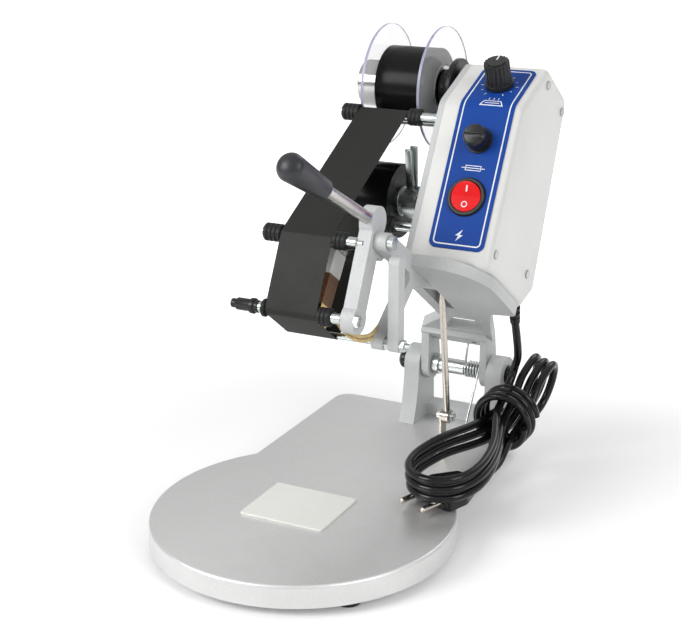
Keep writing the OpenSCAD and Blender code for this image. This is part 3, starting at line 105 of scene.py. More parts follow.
def lamp(name, place, size, watts):
    data = bpy.data.lights.new(name, "AREA")
    data.shape = "DISK"
    data.size = size
    data.energy = watts
    obj = bpy.data.objects.new(name, data)
    obj.location = place
    obj.rotation_euler = (lamp_aim - Vector(place)).to_track_quat("-Z", "Y").to_euler()
    obj.visible_transmission = False
    scene.collection.objects.link(obj)


lamp("key_lamp", (-0.85, -1.15, 1.0), size=0.9, watts=17.0)
lamp("side_lamp", (1.3, -0.5, 0.9), size=0.8, watts=7.5)
lamp("rear_lamp", (0.2, 1.3, 1.2), size=0.9, watts=4.0)


def stepped(tree, value, low, high, start, end):
    """A value spread from start to end as another goes from low to high."""
    node = tree.nodes.new("ShaderNodeMapRange")
    node.interpolation_type = "SMOOTHSTEP"
    for title, number in (("From Min", low), ("From Max", high), ("To Min", start), ("To Max", end)):
        node.inputs[title].default_value = number
    tree.links.new(value, node.inputs["Value"])
    return node.outputs["Result"]


def counted(tree, operation, first, second):
    """A Math node of two sockets, or of a socket and a number."""
    node = tree.nodes.new("ShaderNodeMath")
    node.operation = operation
    tree.links.new(first, node.inputs[0])
    if isinstance(second, float):
        node.inputs[1].default_value = second
    else:
        tree.links.new(second, node.inputs[1])
    return node.outputs["Value"]


fill_light = 0.5
world = bpy.data.worlds.new("pale_room")
world.use_nodes = True
scene.world = world
room = world.node_tree
room_light = room.nodes["Background"]
room_light.inputs["Color"].default_value = (1.0, 1.0, 1.0, 1.0)
rays = room.nodes.new("ShaderNodeLightPath")
upward = room.nodes.new("ShaderNodeSeparateXYZ")
room.links.new(room.nodes.new("ShaderNodeTexCoord").outputs["Generated"], upward.inputs["Vector"])
height = counted(room, "ABSOLUTE", upward.outputs["Z"], 0.0)
mirrored = counted(
    room, "MULTIPLY", stepped(room, height, low=0.05, high=0.75, start=0.30, end=0.8),
    rays.outputs["Is Glossy Ray"])
open_view = counted(room, "MAXIMUM", rays.outputs["Is Camera Ray"], rays.outputs["Is Transmission Ray"])
seen = counted(room, "MAXIMUM", open_view, mirrored)
room.links.new(counted(room, "MAXIMUM", seen, fill_light), room_light.inputs["Strength"])

table_shape = bmesh.new()
bmesh.ops.create_grid(table_shape, x_segments=1, y_segments=1, size=6.0)
table_mesh = bpy.data.meshes.new("table_top")
table_shape.to_mesh(table_mesh)
table_shape.free()
table = bpy.data.objects.new("table_top", table_mesh)
scene.collection.objects.link(table)
table_paint = bpy.data.materials.new("table_white")
table_paint.use_nodes = True
table_tree = table_paint.node_tree
table_shader = table_tree.nodes["Principled BSDF"]
table_shader.inputs["Base Color"].default_value = (0.93, 0.93, 0.93, 1.0)
table_shader.inputs["Roughness"].default_value = 0.8
table_shader.inputs["Emission Color"].default_value = (1.0, 1.0, 1.0, 1.0)
rays = table_tree.nodes.new("ShaderNodeLightPath")
reach = table_tree.nodes.new("ShaderNodeVectorMath")
reach.operation = "LENGTH"
table_tree.links.new(table_tree.nodes.new("ShaderNodeTexCoord").outputs["Object"], reach.inputs[0])
seen = counted(table_tree, "MAXIMUM", rays.outputs["Is Camera Ray"], rays.outputs["Is Glossy Ray"])
seen = counted(table_tree, "MAXIMUM", seen, rays.outputs["Is Transmission Ray"])
far_glow = stepped(table_tree, reach.outputs["Value"], low=0.15, high=0.6, start=0.10, end=0.6)
table_tree.links.new(
    counted(table_tree, "MULTIPLY", far_glow, seen), table_shader.inputs["Emission Strength"])
table_mesh.materials.append(table_paint)


# Base: one aluminium casting with a round nose and a straight tail, hollow and ribbed underneath.
# It is blasted to an even satin with a fine pebble.
nodes = frame["nodes"]


def effect(name, sockets):
    """A node group that gives a colour, a roughness and a height over the surface."""
    tree = bpy.data.node_groups.new(name, "ShaderNodeTree")
    kinds = {"c": "NodeSocketColor", "f": "NodeSocketFloat", "v": "NodeSocketVector"}
    for title, kind in sockets:
        tree.interface.new_socket(title, in_out="INPUT", socket_type=kinds[kind])
    for title, kind in (("Colour", "c"), ("Roughness", "f"), ("Height", "f")):
        tree.interface.new_socket(title, in_out="OUTPUT", socket_type=kinds[kind])
    return tree, tree.nodes.new("NodeGroupInput").outputs, tree.nodes.new("NodeGroupOutput").inputs


def cloud(tree, vector, scale, detail):
    """Noise at a fixed scale or at one that a socket gives."""
    node = tree.nodes.new("ShaderNodeTexNoise")
    node.inputs["Detail"].default_value = detail
    tree.links.new(vector, node.inputs["Vector"])
    if isinstance(scale, float):
        node.inputs["Scale"].default_value = scale
    else:
        tree.links.new(scale, node.inputs["Scale"])
    return node.outputs["Fac"]


def spread(tree, value, low, high):
    """Noise stretched between two values that sockets give."""
    node = tree.nodes.new("ShaderNodeMapRange")
    node.inputs["From Min"].default_value = 0.3
    node.inputs["From Max"].default_value = 0.7
    tree.links.new(value, node.inputs["Value"])
    tree.links.new(low, node.inputs["To Min"])
    tree.links.new(high, node.inputs["To Max"])
    return node.outputs["Result"]


def blended(tree, factor, first, second):
    """Two colours mixed by a factor, on the colour sockets of a Mix node."""
    node = tree.nodes.new("ShaderNodeMix")
    node.data_type = "RGBA"
    factor_in, first_in, second_in, colour_out = 0, 6, 7, 2
    tree.links.new(factor, node.inputs[factor_in])
    tree.links.new(first, node.inputs[first_in])
    tree.links.new(second, node.inputs[second_in])
    return node.outputs[colour_out]


# Mottle is a fine grain over slow patches, for paint, rubber and moulded plastic.
mottle, given, made = effect("mottle", (
    ("Light", "c"), ("Dark", "c"), ("Patch", "f"), ("Grain", "f"), ("Smooth", "f"), ("Rough", "f")))
place = mottle.nodes.new("ShaderNodeTexCoord").outputs["Object"]
patch = cloud(mottle, place, given["Patch"], detail=3.0)
grain = cloud(mottle, place, given["Grain"], detail=2.0)
mixed = counted(mottle, "MULTIPLY", counted(mottle, "ADD", patch, grain), 0.5)
mixed = stepped(mottle, mixed, low=0.35, high=0.65, start=0.0, end=1.0)
mottle.links.new(blended(mottle, mixed, given["Light"], given["Dark"]), made["Colour"])
mottle.links.new(spread(mottle, patch, given["Smooth"], given["Rough"]), made["Roughness"])
mottle.links.new(grain, made["Height"])


def surface(name, kind, relief, colours, values, plain):
    """A material on one effect, with relief in metres and plain numbers on the shader itself."""
    material = bpy.data.materials.new(name)
    material.use_nodes = True
    tree = material.node_tree
    shader = tree.nodes["Principled BSDF"]
    for title, value in plain.items():
        shader.inputs[title.replace("_", " ")].default_value = value
    skin = tree.nodes.new("ShaderNodeGroup")
    skin.node_tree = kind
    for title, colour in zip(("Light", "Dark"), colours):
        skin.inputs[title].default_value = (*colour, 1.0)
    for title, value in values.items():
        skin.inputs[title].default_value = value
    tree.links.new(skin.outputs["Colour"], shader.inputs["Base Color"])
    tree.links.new(skin.outputs["Roughness"], shader.inputs["Roughness"])
    bump = tree.nodes.new("ShaderNodeBump")
    bump.inputs["Distance"].default_value = relief
    tree.links.new(skin.outputs["Height"], bump.inputs["Height"])
    tree.links.new(bump.outputs["Normal"], shader.inputs["Normal"])
    return material


def moulded(name, light, dark, patch, grain, smooth, rough, relief, **plain):
    return surface(name, mottle, relief, (light, dark), dict(
        Patch=patch, Grain=grain, Smooth=smooth, Rough=rough), plain)


def finished(name, shape, material, corner=30.0):
    """An object from a bmesh, shaded smooth apart from corners sharper than the given angle."""
    mesh = bpy.data.meshes.new(name)
    shape.to_mesh(mesh)
    shape.free()
    mesh.materials.append(material)
    mesh.shade_smooth()
    mesh.set_sharp_from_angle(angle=math.radians(corner))
    obj = bpy.data.objects.new(name, mesh)
    scene.collection.objects.link(obj)
    return obj


def stands_for(obj, *names):
    """The piece takes over the body and the place of these solids."""
    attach(obj, body_of(nodes[names[0]])[0])
    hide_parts(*names)
    return obj


def softened(name, node, material, edge, segments=2, corner=30.0):
    """A copy of a solid with its corners merged and its edges rounded to the given width."""
    shape = bmesh.new()
    shape.from_mesh(nodes[node].data)
    bmesh.ops.remove_doubles(shape, verts=shape.verts, dist=2e-6)
    bmesh.ops.dissolve_limit(
        shape, angle_limit=math.radians(0.5), verts=shape.verts, edges=shape.edges)
    obj = finished(name, shape, material, corner)
    bevel = obj.modifiers.new("rounded_edges", "BEVEL")
    bevel.width = edge
    bevel.segments = segments
    bevel.limit_method = "ANGLE"
    bevel.angle_limit = math.radians(corner)
    bevel.harden_normals = True
    return stands_for(obj, node)


satin_cast = moulded(
    "satin_cast", light=(0.78, 0.78, 0.775), dark=(0.70, 0.70, 0.695), patch=16.0, grain=1500.0,
    smooth=0.34, rough=0.46, relief=0.00010, Metallic=0.8)
softened("base_casting", "base_plate", satin_cast, edge=0.0005)


# Feet: four black rubber buttons under the casting. A zinc-plated screw through the middle of each
# holds it.
rubber = moulded(
    "rubber", light=(0.010, 0.010, 0.010), dark=(0.018, 0.018, 0.018), patch=50.0, grain=1200.0,
    smooth=0.4, rough=0.55, relief=0.00008, Specular_IOR_Level=0.25)
softened("foot_buttons", "rubber_feet", rubber, edge=0.0008)


# Brushing is long streaks across a slow cloud, for turned, drawn and ground metal.
brushing, given, made = effect("brushing", (
    ("Light", "c"), ("Dark", "c"), ("Stretch", "v"), ("Smooth", "f"), ("Rough", "f")))
place = brushing.nodes.new("ShaderNodeTexCoord").outputs["Object"]
stretch = brushing.nodes.new("ShaderNodeMapping")
brushing.links.new(place, stretch.inputs["Vector"])
brushing.links.new(given["Stretch"], stretch.inputs["Scale"])
streak = cloud(brushing, stretch.outputs["Vector"], 1.0, detail=3.0)
brushing.links.new(blended(brushing, streak, given["Light"], given["Dark"]), made["Colour"])
brushing.links.new(
    spread(brushing, cloud(brushing, place, 90.0, detail=2.0), given["Smooth"], given["Rough"]),
    made["Roughness"])
brushing.links.new(streak, made["Height"])


def metal(name, light, dark, stretch, smooth, rough, relief):
    return surface(name, brushing, relief, (light, dark), dict(
        Stretch=stretch, Smooth=smooth, Rough=rough), dict(Metallic=1.0))


def dress(material, *names):
    """Puts a finish on solids that keep their own shape."""
    for n in names:
        nodes[n].data.materials.clear()
        nodes[n].data.materials.append(material)


zinc = metal(
    "zinc", light=(0.66, 0.69, 0.68), dark=(0.46, 0.49, 0.485), stretch=(60.0, 900.0, 900.0),
    smooth=0.18, rough=0.34, relief=0.00002)
dress(zinc, "foot_screws")


# Print pad: a thin sheet of milky silicone rubber that the type presses on, cut square and stuck
# on the nose.
pad_silicone = moulded(
    "pad_silicone", light=(0.82, 0.82, 0.78), dark=(0.77, 0.77, 0.73), patch=20.0, grain=900.0,
    smooth=0.38, rough=0.52, relief=0.00006, Coat_Weight=0.1)
softened("pad_sheet", "print_pad", pad_silicone, edge=0.0003)


# Pivot bracket: a second casting in silver-grey paint, with two flared uprights for the hinge.
# Four zinc-plated bolts hold it to the tail.
cast_paint = moulded(
    "cast_paint", light=(0.58, 0.59, 0.59), dark=(0.49, 0.50, 0.505), patch=16.0, grain=1500.0,
    smooth=0.46, rough=0.60, relief=0.00010, Metallic=0.1, Specular_IOR_Level=0.3)
softened("bracket_casting", "pivot_bracket", cast_paint, edge=0.0012)
softened("bracket_screws", "bracket_bolts", zinc, edge=0.0004)


# Hinge axle: a ground steel pin through the uprights, with dark plastic end caps and a zinc-plated
# spacer sleeve that keeps the spring against the right-hand side.
steel = metal(
    "steel", light=(0.70, 0.70, 0.69), dark=(0.56, 0.56, 0.55), stretch=(500.0, 60.0, 60.0),
    smooth=0.16, rough=0.28, relief=0.00001)
dress(steel, "pivot_axle")
softened("spacer_sleeve", "axle_sleeve", zinc, edge=0.0004)
black_plastic = moulded(
    "black_plastic", light=(0.009, 0.009, 0.010), dark=(0.016, 0.016, 0.017), patch=40.0,
    grain=1500.0, smooth=0.22, rough=0.36, relief=0.00004, Specular_IOR_Level=0.3)
softened("end_caps", "axle_caps", black_plastic, edge=0.0006)


# Return spring: zinc-plated wire, five coils round the axle. One leg lies on the base and the
# other rises behind the arm's beam to the nut, so the coils turn with the arm.
swing = math.radians(36.0)
axle = Vector((0.0, 0.124464, 0.063))


def arm_way(u, w):
    """A direction of the raised arm: u ahead of the axle, w above the plate's line."""
    return Vector((0.0, w * math.sin(swing) - u * math.cos(swing),
                   u * math.sin(swing) + w * math.cos(swing)))


def on_arm(x, u, w):
    """A point of the raised arm, x across it."""
    return Vector((x, axle.y, axle.z)) + arm_way(u, w)


def swept(name, points, width, fineness, material):
    """A round section swept along points as a closed mesh."""
    line = bpy.data.curves.new(name, "CURVE")
    line.dimensions = "3D"
    line.bevel_depth = width / 2
    line.bevel_resolution = fineness
    line.use_fill_caps = True
    spline = line.splines.new("BEZIER")
    spline.resolution_u = 3
    spline.bezier_points.add(len(points) - 1)
    for knot, p in zip(spline.bezier_points, points):
        knot.co = p
        knot.handle_left_type = knot.handle_right_type = "AUTO"
    holder = bpy.data.objects.new(name, line)
    mesh = bpy.data.meshes.new_from_object(holder)
    bpy.data.objects.remove(holder)
    mesh.name = name
    mesh.materials.append(material)
    mesh.shade_smooth()
    obj = bpy.data.objects.new(name, mesh)
    scene.collection.objects.link(obj)
    return obj


wire_width, coil_radius, coil_pitch, coil_turns, coil_x = 0.0016, 0.0055, 0.0022, 5, 0.037
knots_a_coil = 24
coil_start = math.pi - swing
upper_leg = ((0.0109, 0.030), (0.0109, 0.023), (0.0109, 0.017), (0.0089, 0.009))
lower_leg_reach, lower_leg_level = 0.034, 0.0218
spring_path = [on_arm(coil_x, u, w) for u, w in upper_leg]
spring_path += [
    Vector((coil_x + coil_pitch * i / knots_a_coil,
            axle.y + coil_radius * math.cos(coil_start + math.tau * i / knots_a_coil),
            axle.z + coil_radius * math.sin(coil_start + math.tau * i / knots_a_coil)))
    for i in range(coil_turns * knots_a_coil + 1)]
spring_foot = Vector((coil_x + coil_turns * coil_pitch, axle.y - lower_leg_reach, lower_leg_level))
spring_path += [spring_path[-1].lerp(spring_foot, t) for t in (0.25, 0.6, 1.0)]
spring = swept("spring_wire", spring_path, wire_width, fineness=3, material=zinc)
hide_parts("return_spring")
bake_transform(spring, "base", "arm", start=tuple(axle + Vector((coil_x, 0.0, 0.0))),
         end=tuple(on_arm(coil_x, 0.0095, 0.011)))


# Feed rod: a nickelled steel rod with a flattened eye at each end, hinged on a bent sheet bracket
# that two screws hold to the base. It drives the take-up crank as the arm swings.
nickel = metal(
    "nickel", light=(0.66, 0.61, 0.55), dark=(0.48, 0.44, 0.39), stretch=(120.0, 700.0, 700.0),
    smooth=0.16, rough=0.30, relief=0.00002)
softened("rod_tab", "rod_bracket", nickel, edge=0.0003)
softened("tab_screws", "rod_screws", zinc, edge=0.0003)
softened("drive_rod", "feed_rod", nickel, edge=0.0004)
dress(zinc, "feed_crank")


# Arm: a flat cast plate in the bracket's paint, with hinge lugs on bronze bushes. A cast link and a
# thin leg hang from its front edge and carry the type head and the lower rods.
softened("arm_casting", "arm_frame", cast_paint, edge=0.0010)
softened("link_casting", "front_link", cast_paint, edge=0.0012)
softened("leg_casting", "support_leg", cast_paint, edge=0.0010)
softened("link_hexes", "link_nuts", zinc, edge=0.0004)
softened("stud_nut", "spring_nut", zinc, edge=0.0004)
bronze = metal(
    "bronze", light=(0.52, 0.36, 0.18), dark=(0.38, 0.25, 0.12), stretch=(700.0, 90.0, 90.0),
    smooth=0.3, rough=0.48, relief=0.00003)
dress(bronze, "arm_bushes", "takeup_bush")


# Control box: a cast side wall in the arm's paint, closed by a pressed shell in off-white paint
# that four screws hold from the right.
softened("side_wall", "reel_plate", cast_paint, edge=0.0008)
box_paint = moulded(
    "box_paint", light=(0.72, 0.72, 0.70), dark=(0.675, 0.675, 0.655), patch=12.0, grain=1600.0,
    smooth=0.34, rough=0.44, relief=0.00008)
softened("box_cover", "box_shell", box_paint, edge=0.0006, corner=40.0)
dull_steel = metal(
    "dull_steel", light=(0.56, 0.56, 0.55), dark=(0.44, 0.44, 0.43), stretch=(300.0, 300.0, 300.0),
    smooth=0.36, rough=0.5, relief=0.00003)
softened("cover_screws", "box_screws", dull_steel, edge=0.0004)
board_green = moulded(
    "board_green", light=(0.03, 0.17, 0.07), dark=(0.02, 0.12, 0.05), patch=60.0, grain=500.0,
    smooth=0.3, rough=0.5, relief=0.0001)
dress(board_green, "control_board")
dress(dull_steel, "potentiometer")


# Panel: a blue printed film on thin sheet, bent over the front and the slanted face. A white line
# runs round it; a dial and the signs for heat, fuse and mains are printed inside the line.
panel_film = moulded(
    "panel_film", light=(0.009, 0.052, 0.275), dark=(0.012, 0.062, 0.315), patch=25.0, grain=1500.0,
    smooth=0.34, rough=0.44, relief=0.00002, Specular_IOR_Level=0.08)
panel_plate = softened("panel_plate", "control_panel", panel_film, edge=0.0002)
face_low, face_bend = Vector((0.157, 0.0275)), Vector((0.166, 0.135))
face_top = Vector((0.141, 0.1745))
front_length, slant_length = (face_bend - face_low).length, (face_top - face_bend).length
front_way = (face_bend - face_low).normalized()
slant_way = (face_top - face_bend).normalized()
front_out = Vector((front_way.y, -front_way.x))
bend_radius, film_thick = 0.012, 0.0008
bend_angle = front_way.angle(slant_way)
bend_short = bend_radius * math.tan(bend_angle / 2)
bend_from = front_length - bend_short
bend_to = bend_from + bend_radius * bend_angle
bend_middle = face_low + front_way * bend_from - front_out * bend_radius


def on_panel(x, s, lift):
    """A point over the panel: x across, s up its bent length from the box's foot."""
    out = bend_radius + film_thick + lift
    a = min(max(s - bend_from, 0.0) / bend_radius, bend_angle)
    turned_out = front_out * math.cos(a) + front_way * math.sin(a)
    run = Vector((-turned_out.y, turned_out.x)) * (min(s - bend_from, 0.0) + max(s - bend_to, 0.0))
    p = bend_middle + turned_out * out + run
    return on_arm(x, p.x, p.y)


panel_middle, panel_half, panel_foot, panel_head = 0.072, 0.019, 0.00953, 0.15035
# The solid runs on past its rounded upper corners, so the copy is cut off level with its head.
trim_allowance = 0.00002
trimmed = bmesh.new()
trimmed.from_mesh(panel_plate.data)
trim = bmesh.ops.bisect_plane(
    trimmed, geom=[*trimmed.verts, *trimmed.edges, *trimmed.faces], clear_outer=True,
    plane_co=on_panel(panel_middle, panel_head - trim_allowance, 0.0), plane_no=arm_way(*slant_way))
bmesh.ops.holes_fill(
    trimmed, edges=[e for e in trim["geom_cut"] if isinstance(e, bmesh.types.BMEdge)], sides=0)
trimmed.to_mesh(panel_plate.data)
trimmed.free()


def add_into(shape, other):
    """Moves one bmesh into another."""
    holder = bpy.data.meshes.new("holder")
    other.to_mesh(holder)
    other.free()
    shape.from_mesh(holder)
    bpy.data.meshes.remove(holder)


def patch_of(shape, width, length, place, turn=0.0):
    """A flat oblong laid in the panel's own plane, x across and y along."""
    bmesh.ops.create_grid(
        shape, x_segments=1, y_segments=1, size=0.5,
        matrix=Matrix.Translation((*place, 0.0)) @ Matrix.Rotation(turn, 4, "Z")
        @ Matrix.Diagonal((width, length, 1.0, 1.0)))


def outlined_face(shape, middle, outline):
    """A flat face from points round a middle."""
    shape.faces.new([shape.verts.new((*(middle + Vector(p)), 0.0)) for p in outline])
    shape.normal_update()


def outline_of(shape, line):
    """Leaves a line of the given width round the one face of a flat bmesh."""
    middle = list(shape.faces)
    bmesh.ops.inset_region(shape, faces=middle, thickness=line, use_boundary=True, use_even_offset=True)
    bmesh.ops.delete(shape, geom=middle, context="FACES")


def frame_of(shape, width, length, place, corner, line):
    """Adds a printed outline of an oblong with rounded corners."""
    sign = bmesh.new()
    patch_of(sign, width, length, place)
    bmesh.ops.bevel(
        sign, geom=list(sign.verts), offset=corner, offset_type="OFFSET", segments=6, profile=0.5,
        affect="VERTICES", material=-1)
    outline_of(sign, line)
    add_into(shape, sign)


marks = bmesh.new()
ink_lift = 0.00004
line_inset, line_width, line_corner = 0.0025, 0.0009, 0.003
frame_of(marks, 2 * (panel_half - line_inset), panel_head - panel_foot - 2 * line_inset,
         (panel_middle, (panel_head + panel_foot) / 2), corner=line_corner, line=line_width)
fuse_sign = (panel_middle, 0.0640)
fuse_wide, fuse_tall, fuse_corner, fuse_wire, fuse_line = 0.0110, 0.0036, 0.0002, 0.0160, 0.0005
frame_of(marks, fuse_wide, fuse_tall, fuse_sign, corner=fuse_corner, line=fuse_line)
patch_of(marks, fuse_wire, fuse_line, fuse_sign)
bolt_middle = Vector((panel_middle + 0.0006, 0.0188))
bolt_line = ((0.0020, 0.0041), (-0.0026, -0.0001), (-0.0003, -0.0001),
             (-0.0017, -0.0039), (0.0027, 0.0004), (0.0004, 0.0004))
outlined_face(marks, bolt_middle, bolt_line)
knob_along = 0.46 * slant_length
dial_middle = Vector((panel_middle, bend_to + knob_along - bend_short))
dial_marks, dial_sweep, dial_radius = 11, math.radians(300), 0.0110
long_tick, short_tick, tick_width = 0.0022, 0.0013, 0.00045
for i in range(dial_marks):
    a = dial_sweep * (0.5 - i / (dial_marks - 1))
    way = Vector((-math.sin(a), math.cos(a)))
    tick = long_tick if i % 2 == 0 else short_tick
    patch_of(marks, tick_width, tick, dial_middle + way * (dial_radius + tick / 2), a)
heat_middle = Vector((panel_middle + 0.0022, bend_to - 0.0026))
heat_line = ((-0.0083, -0.0022), (0.0083, -0.0022), (0.0058, 0.0022), (-0.0058, 0.0022))
heat_bar, heat_rim, heat_stroke = 0.0100, 0.0007, 0.0006
ray_gap, ray_rise, ray_length = 0.0032, 0.0042, 0.0024
heat_sign = bmesh.new()
outlined_face(heat_sign, heat_middle, heat_line)
outline_of(heat_sign, heat_rim)
add_into(marks, heat_sign)
patch_of(marks, heat_bar, heat_stroke, heat_middle)
for x in (-ray_gap, 0.0, ray_gap):
    patch_of(marks, heat_stroke, ray_length, heat_middle + Vector((x, ray_rise)))
bend_steps = 12
for i in range(bend_steps + 1):
    fold = bend_from + (bend_to - bend_from) * i / bend_steps
    bmesh.ops.bisect_plane(
        marks, geom=[*marks.verts, *marks.edges, *marks.faces], plane_co=(0.0, fold, 0.0),
        plane_no=(0.0, 1.0, 0.0))
for v in marks.verts:
    v.co = on_panel(v.co.x, v.co.y, ink_lift)
white_ink = moulded(
    "white_ink", light=(0.80, 0.82, 0.84), dark=(0.72, 0.74, 0.78), patch=80.0, grain=1800.0,
    smooth=0.4, rough=0.55, relief=0.00001)
panel_print = finished("panel_print", marks, white_ink)
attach(panel_print, "arm")


# Power switch: a glossy black bezel snapped in the panel round a red rocker of clear plastic,
# with the usual on and off strokes printed on its two halves.
softened("switch_ring", "switch_bezel", black_plastic, edge=0.0005, segments=3)
rocker_red = moulded(
    "rocker_red", light=(0.80, 0.006, 0.008), dark=(0.70, 0.004, 0.006), patch=60.0, grain=900.0,
    smooth=0.24, rough=0.34, relief=0.00001, Specular_IOR_Level=0.12)
softened("rocker_lens", "power_rocker", rocker_red, edge=0.0005, segments=3)


def set_in(origin, right, up):
    """A frame with X to the right and Y up, and Z out of the face between them."""
    return Matrix.Translation(origin) @ Matrix((right, up, right.cross(up))).transposed().to_4x4()


across = Vector((1.0, 0.0, 0.0))
rocker_along, rocker_vertex, rocker_tilt = 0.412 * front_length, 0.002396, math.radians(16)
face_up, face_out = arm_way(*front_way), arm_way(*front_out)
rocker_root = on_arm(panel_middle, *(face_low + front_way * rocker_along)) + face_out * rocker_vertex
raised_up = face_up * math.cos(rocker_tilt) + face_out * math.sin(rocker_tilt)
stroke_off, stroke_wide, stroke_tall, ring_radius, ring_line = 0.0052, 0.0010, 0.0040, 0.0021, 0.0007
strokes = bmesh.new()
patch_of(strokes, stroke_wide, stroke_tall, (0.0, stroke_off))
bmesh.ops.translate(strokes, verts=strokes.verts, vec=(0.0, 0.0, ink_lift))
strokes.transform(set_in(rocker_root, across, raised_up))
ring = bmesh.new()
bmesh.ops.create_circle(ring, cap_ends=True, segments=32, radius=ring_radius)
outline_of(ring, ring_line)
bmesh.ops.translate(ring, verts=ring.verts, vec=(0.0, -stroke_off, ink_lift))
ring.transform(set_in(rocker_root, across, face_up))
add_into(strokes, ring)
rocker_print = finished("rocker_print", strokes, white_ink)
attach(rocker_print, "power_rocker")


# Fuse holder and dial knob: black mouldings above the switch. The cap and the knob have fluted
# sides, and the knob a white pointer line on its top.
softened("fuse_seat", "fuse_holder", black_plastic, edge=0.0003)
softened("fuse_button", "fuse_cap", black_plastic, edge=0.0003)
softened("dial_knob", "temperature_knob", black_plastic, edge=0.0003)
knob_root = on_arm(panel_middle, *(face_bend + slant_way * knob_along))
knob_top, pointer_off, pointer_wide, pointer_long = 0.0199, 0.0036, 0.0010, 0.0052
pointer = bmesh.new()
patch_of(pointer, pointer_wide, pointer_long, (0.0, pointer_off))
bmesh.ops.translate(pointer, verts=pointer.verts, vec=(0.0, 0.0, knob_top + ink_lift))
pointer.transform(set_in(knob_root, across, arm_way(*slant_way)))
pointer_line = finished("pointer_line", pointer, white_ink)
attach(pointer_line, "temperature_knob")


# Handle: a satin steel rod screwed in the link, with a charcoal plastic grip that widens to a
# domed end.
satin_steel = metal(
    "satin_steel", light=(0.64, 0.63, 0.60), dark=(0.52, 0.51, 0.49), stretch=(400.0, 400.0, 400.0),
    smooth=0.24, rough=0.36, relief=0.00002)
softened("lever_rod", "handle_rod", satin_steel, edge=0.0004)
grip_plastic = moulded(
    "grip_plastic", light=(0.018, 0.019, 0.023), dark=(0.026, 0.027, 0.032), patch=30.0, grain=1300.0,
    smooth=0.32, rough=0.42, relief=0.00008, Specular_IOR_Level=0.4)


def spin_into(shape, outline, seat, steps=48):
    """Adds a turned solid: (radius, height) points spun about the seat's Z axis."""
    loop = bmesh.new()
    knots = [loop.verts.new((r, 0.0, h)) for r, h in outline]
    edges = [loop.edges.new(pair) for pair in zip(knots, knots[1:])]
    if outline[0][0] > 0.0:
        edges.append(loop.edges.new((knots[-1], knots[0])))
    bmesh.ops.spin(loop, geom=knots + edges, cent=(0.0, 0.0, 0.0), axis=(0.0, 0.0, 1.0),
                   angle=math.tau, steps=steps, use_merge=True)
    bmesh.ops.remove_doubles(loop, verts=loop.verts, dist=1e-6)
    bmesh.ops.recalc_face_normals(loop, faces=loop.faces)
    loop.transform(seat)
    add_into(shape, loop)


handle_root, handle_dip = on_arm(0.0365, 0.210, 0.031), math.radians(7)
handle_way = arm_way(math.cos(handle_dip), -math.sin(handle_dip))
handle_seat = set_in(handle_root, across, handle_way.cross(across))
grip_from, grip_to, grip_slim, grip_wide = 0.072, 0.120, 0.0065, 0.0085
grip_rim, grip_rim_cut, dome, dome_steps = 0.001, 0.0003, 0.006, 10
grip_line = [(0.0, grip_from), (grip_slim - grip_rim, grip_from),
             (grip_slim - grip_rim_cut, grip_from + grip_rim_cut), (grip_slim, grip_from + grip_rim)]
grip_line += [
    (grip_wide * math.cos(a), grip_to - dome + dome * math.sin(a))
    for a in (math.pi / 2 * i / dome_steps for i in range(dome_steps))]
grip_line.append((0.0, grip_to))
grip = bmesh.new()
spin_into(grip, grip_line, handle_seat)
stands_for(finished("lever_grip", grip, grip_plastic), "handle_grip")


# Type head: a zinc-plated bar on the link, a white insulator, a brown board carrier and a brass
# heating block, with the type clamped in a brass holder under it.
softened("head_crossbar", "head_bar", zinc, edge=0.0006)
insulator = moulded(
    "insulator", light=(0.88, 0.87, 0.85), dark=(0.82, 0.81, 0.78), patch=60.0, grain=900.0,
    smooth=0.5, rough=0.65, relief=0.00008)
softened("insulator_brick", "insulator_block", insulator, edge=0.0006)
carrier = moulded(
    "carrier", light=(0.24, 0.115, 0.045), dark=(0.15, 0.065, 0.028), patch=45.0, grain=700.0,
    smooth=0.34, rough=0.5, relief=0.00008)
softened("carrier_brick", "carrier_block", carrier, edge=0.0005)
brass = metal(
    "brass", light=(0.80, 0.58, 0.24), dark=(0.62, 0.42, 0.15), stretch=(400.0, 900.0, 900.0),
    smooth=0.22, rough=0.38, relief=0.00003)
softened("brass_heater", "heating_block", brass, edge=0.0004)
softened("brass_holder", "type_holder", brass, edge=0.0003)
softened("clamp_screw", "type_screw", brass, edge=0.0003)
dress(brass, "type_slugs")
dress(steel, "heater_cartridge")


# Heater leads: two wires, each in a varnished gold glass sleeve. They leave the cartridge together,
# droop under the link's foot and turn back up into the arm plate.
sleeve_cloth = moulded(
    "sleeve_cloth", light=(0.66, 0.52, 0.25), dark=(0.44, 0.31, 0.13), patch=500.0, grain=2400.0,
    smooth=0.34, rough=0.5, relief=0.00012)
lead_width, lead_gap = 0.0024, 0.00105
lead_knots = ((0.0162, 0.1920, -0.0260), (0.0180, 0.1919, -0.0264), (0.0205, 0.1914, -0.0285),
              (0.0240, 0.1904, -0.0322), (0.0285, 0.1888, -0.0354), (0.0335, 0.1867, -0.0372),
              (0.0380, 0.1838, -0.0368), (0.0410, 0.1798, -0.0338), (0.0418, 0.1752, -0.0285),
              (0.0412, 0.1700, -0.0220), (0.0398, 0.1645, -0.0140), (0.0383, 0.1585, -0.0050),
              (0.0373, 0.1530, 0.0060), (0.0370, 0.1490, 0.0205))
for side, name in ((-1, "heater_lead_front"), (1, "heater_lead_rear")):
    lead_path = [on_arm(x, u - side * lead_gap, w - side * lead_gap) for x, u, w in lead_knots]
    heater_lead = swept(name, lead_path, lead_width, fineness=4, material=sleeve_cloth)
    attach(heater_lead, "arm")


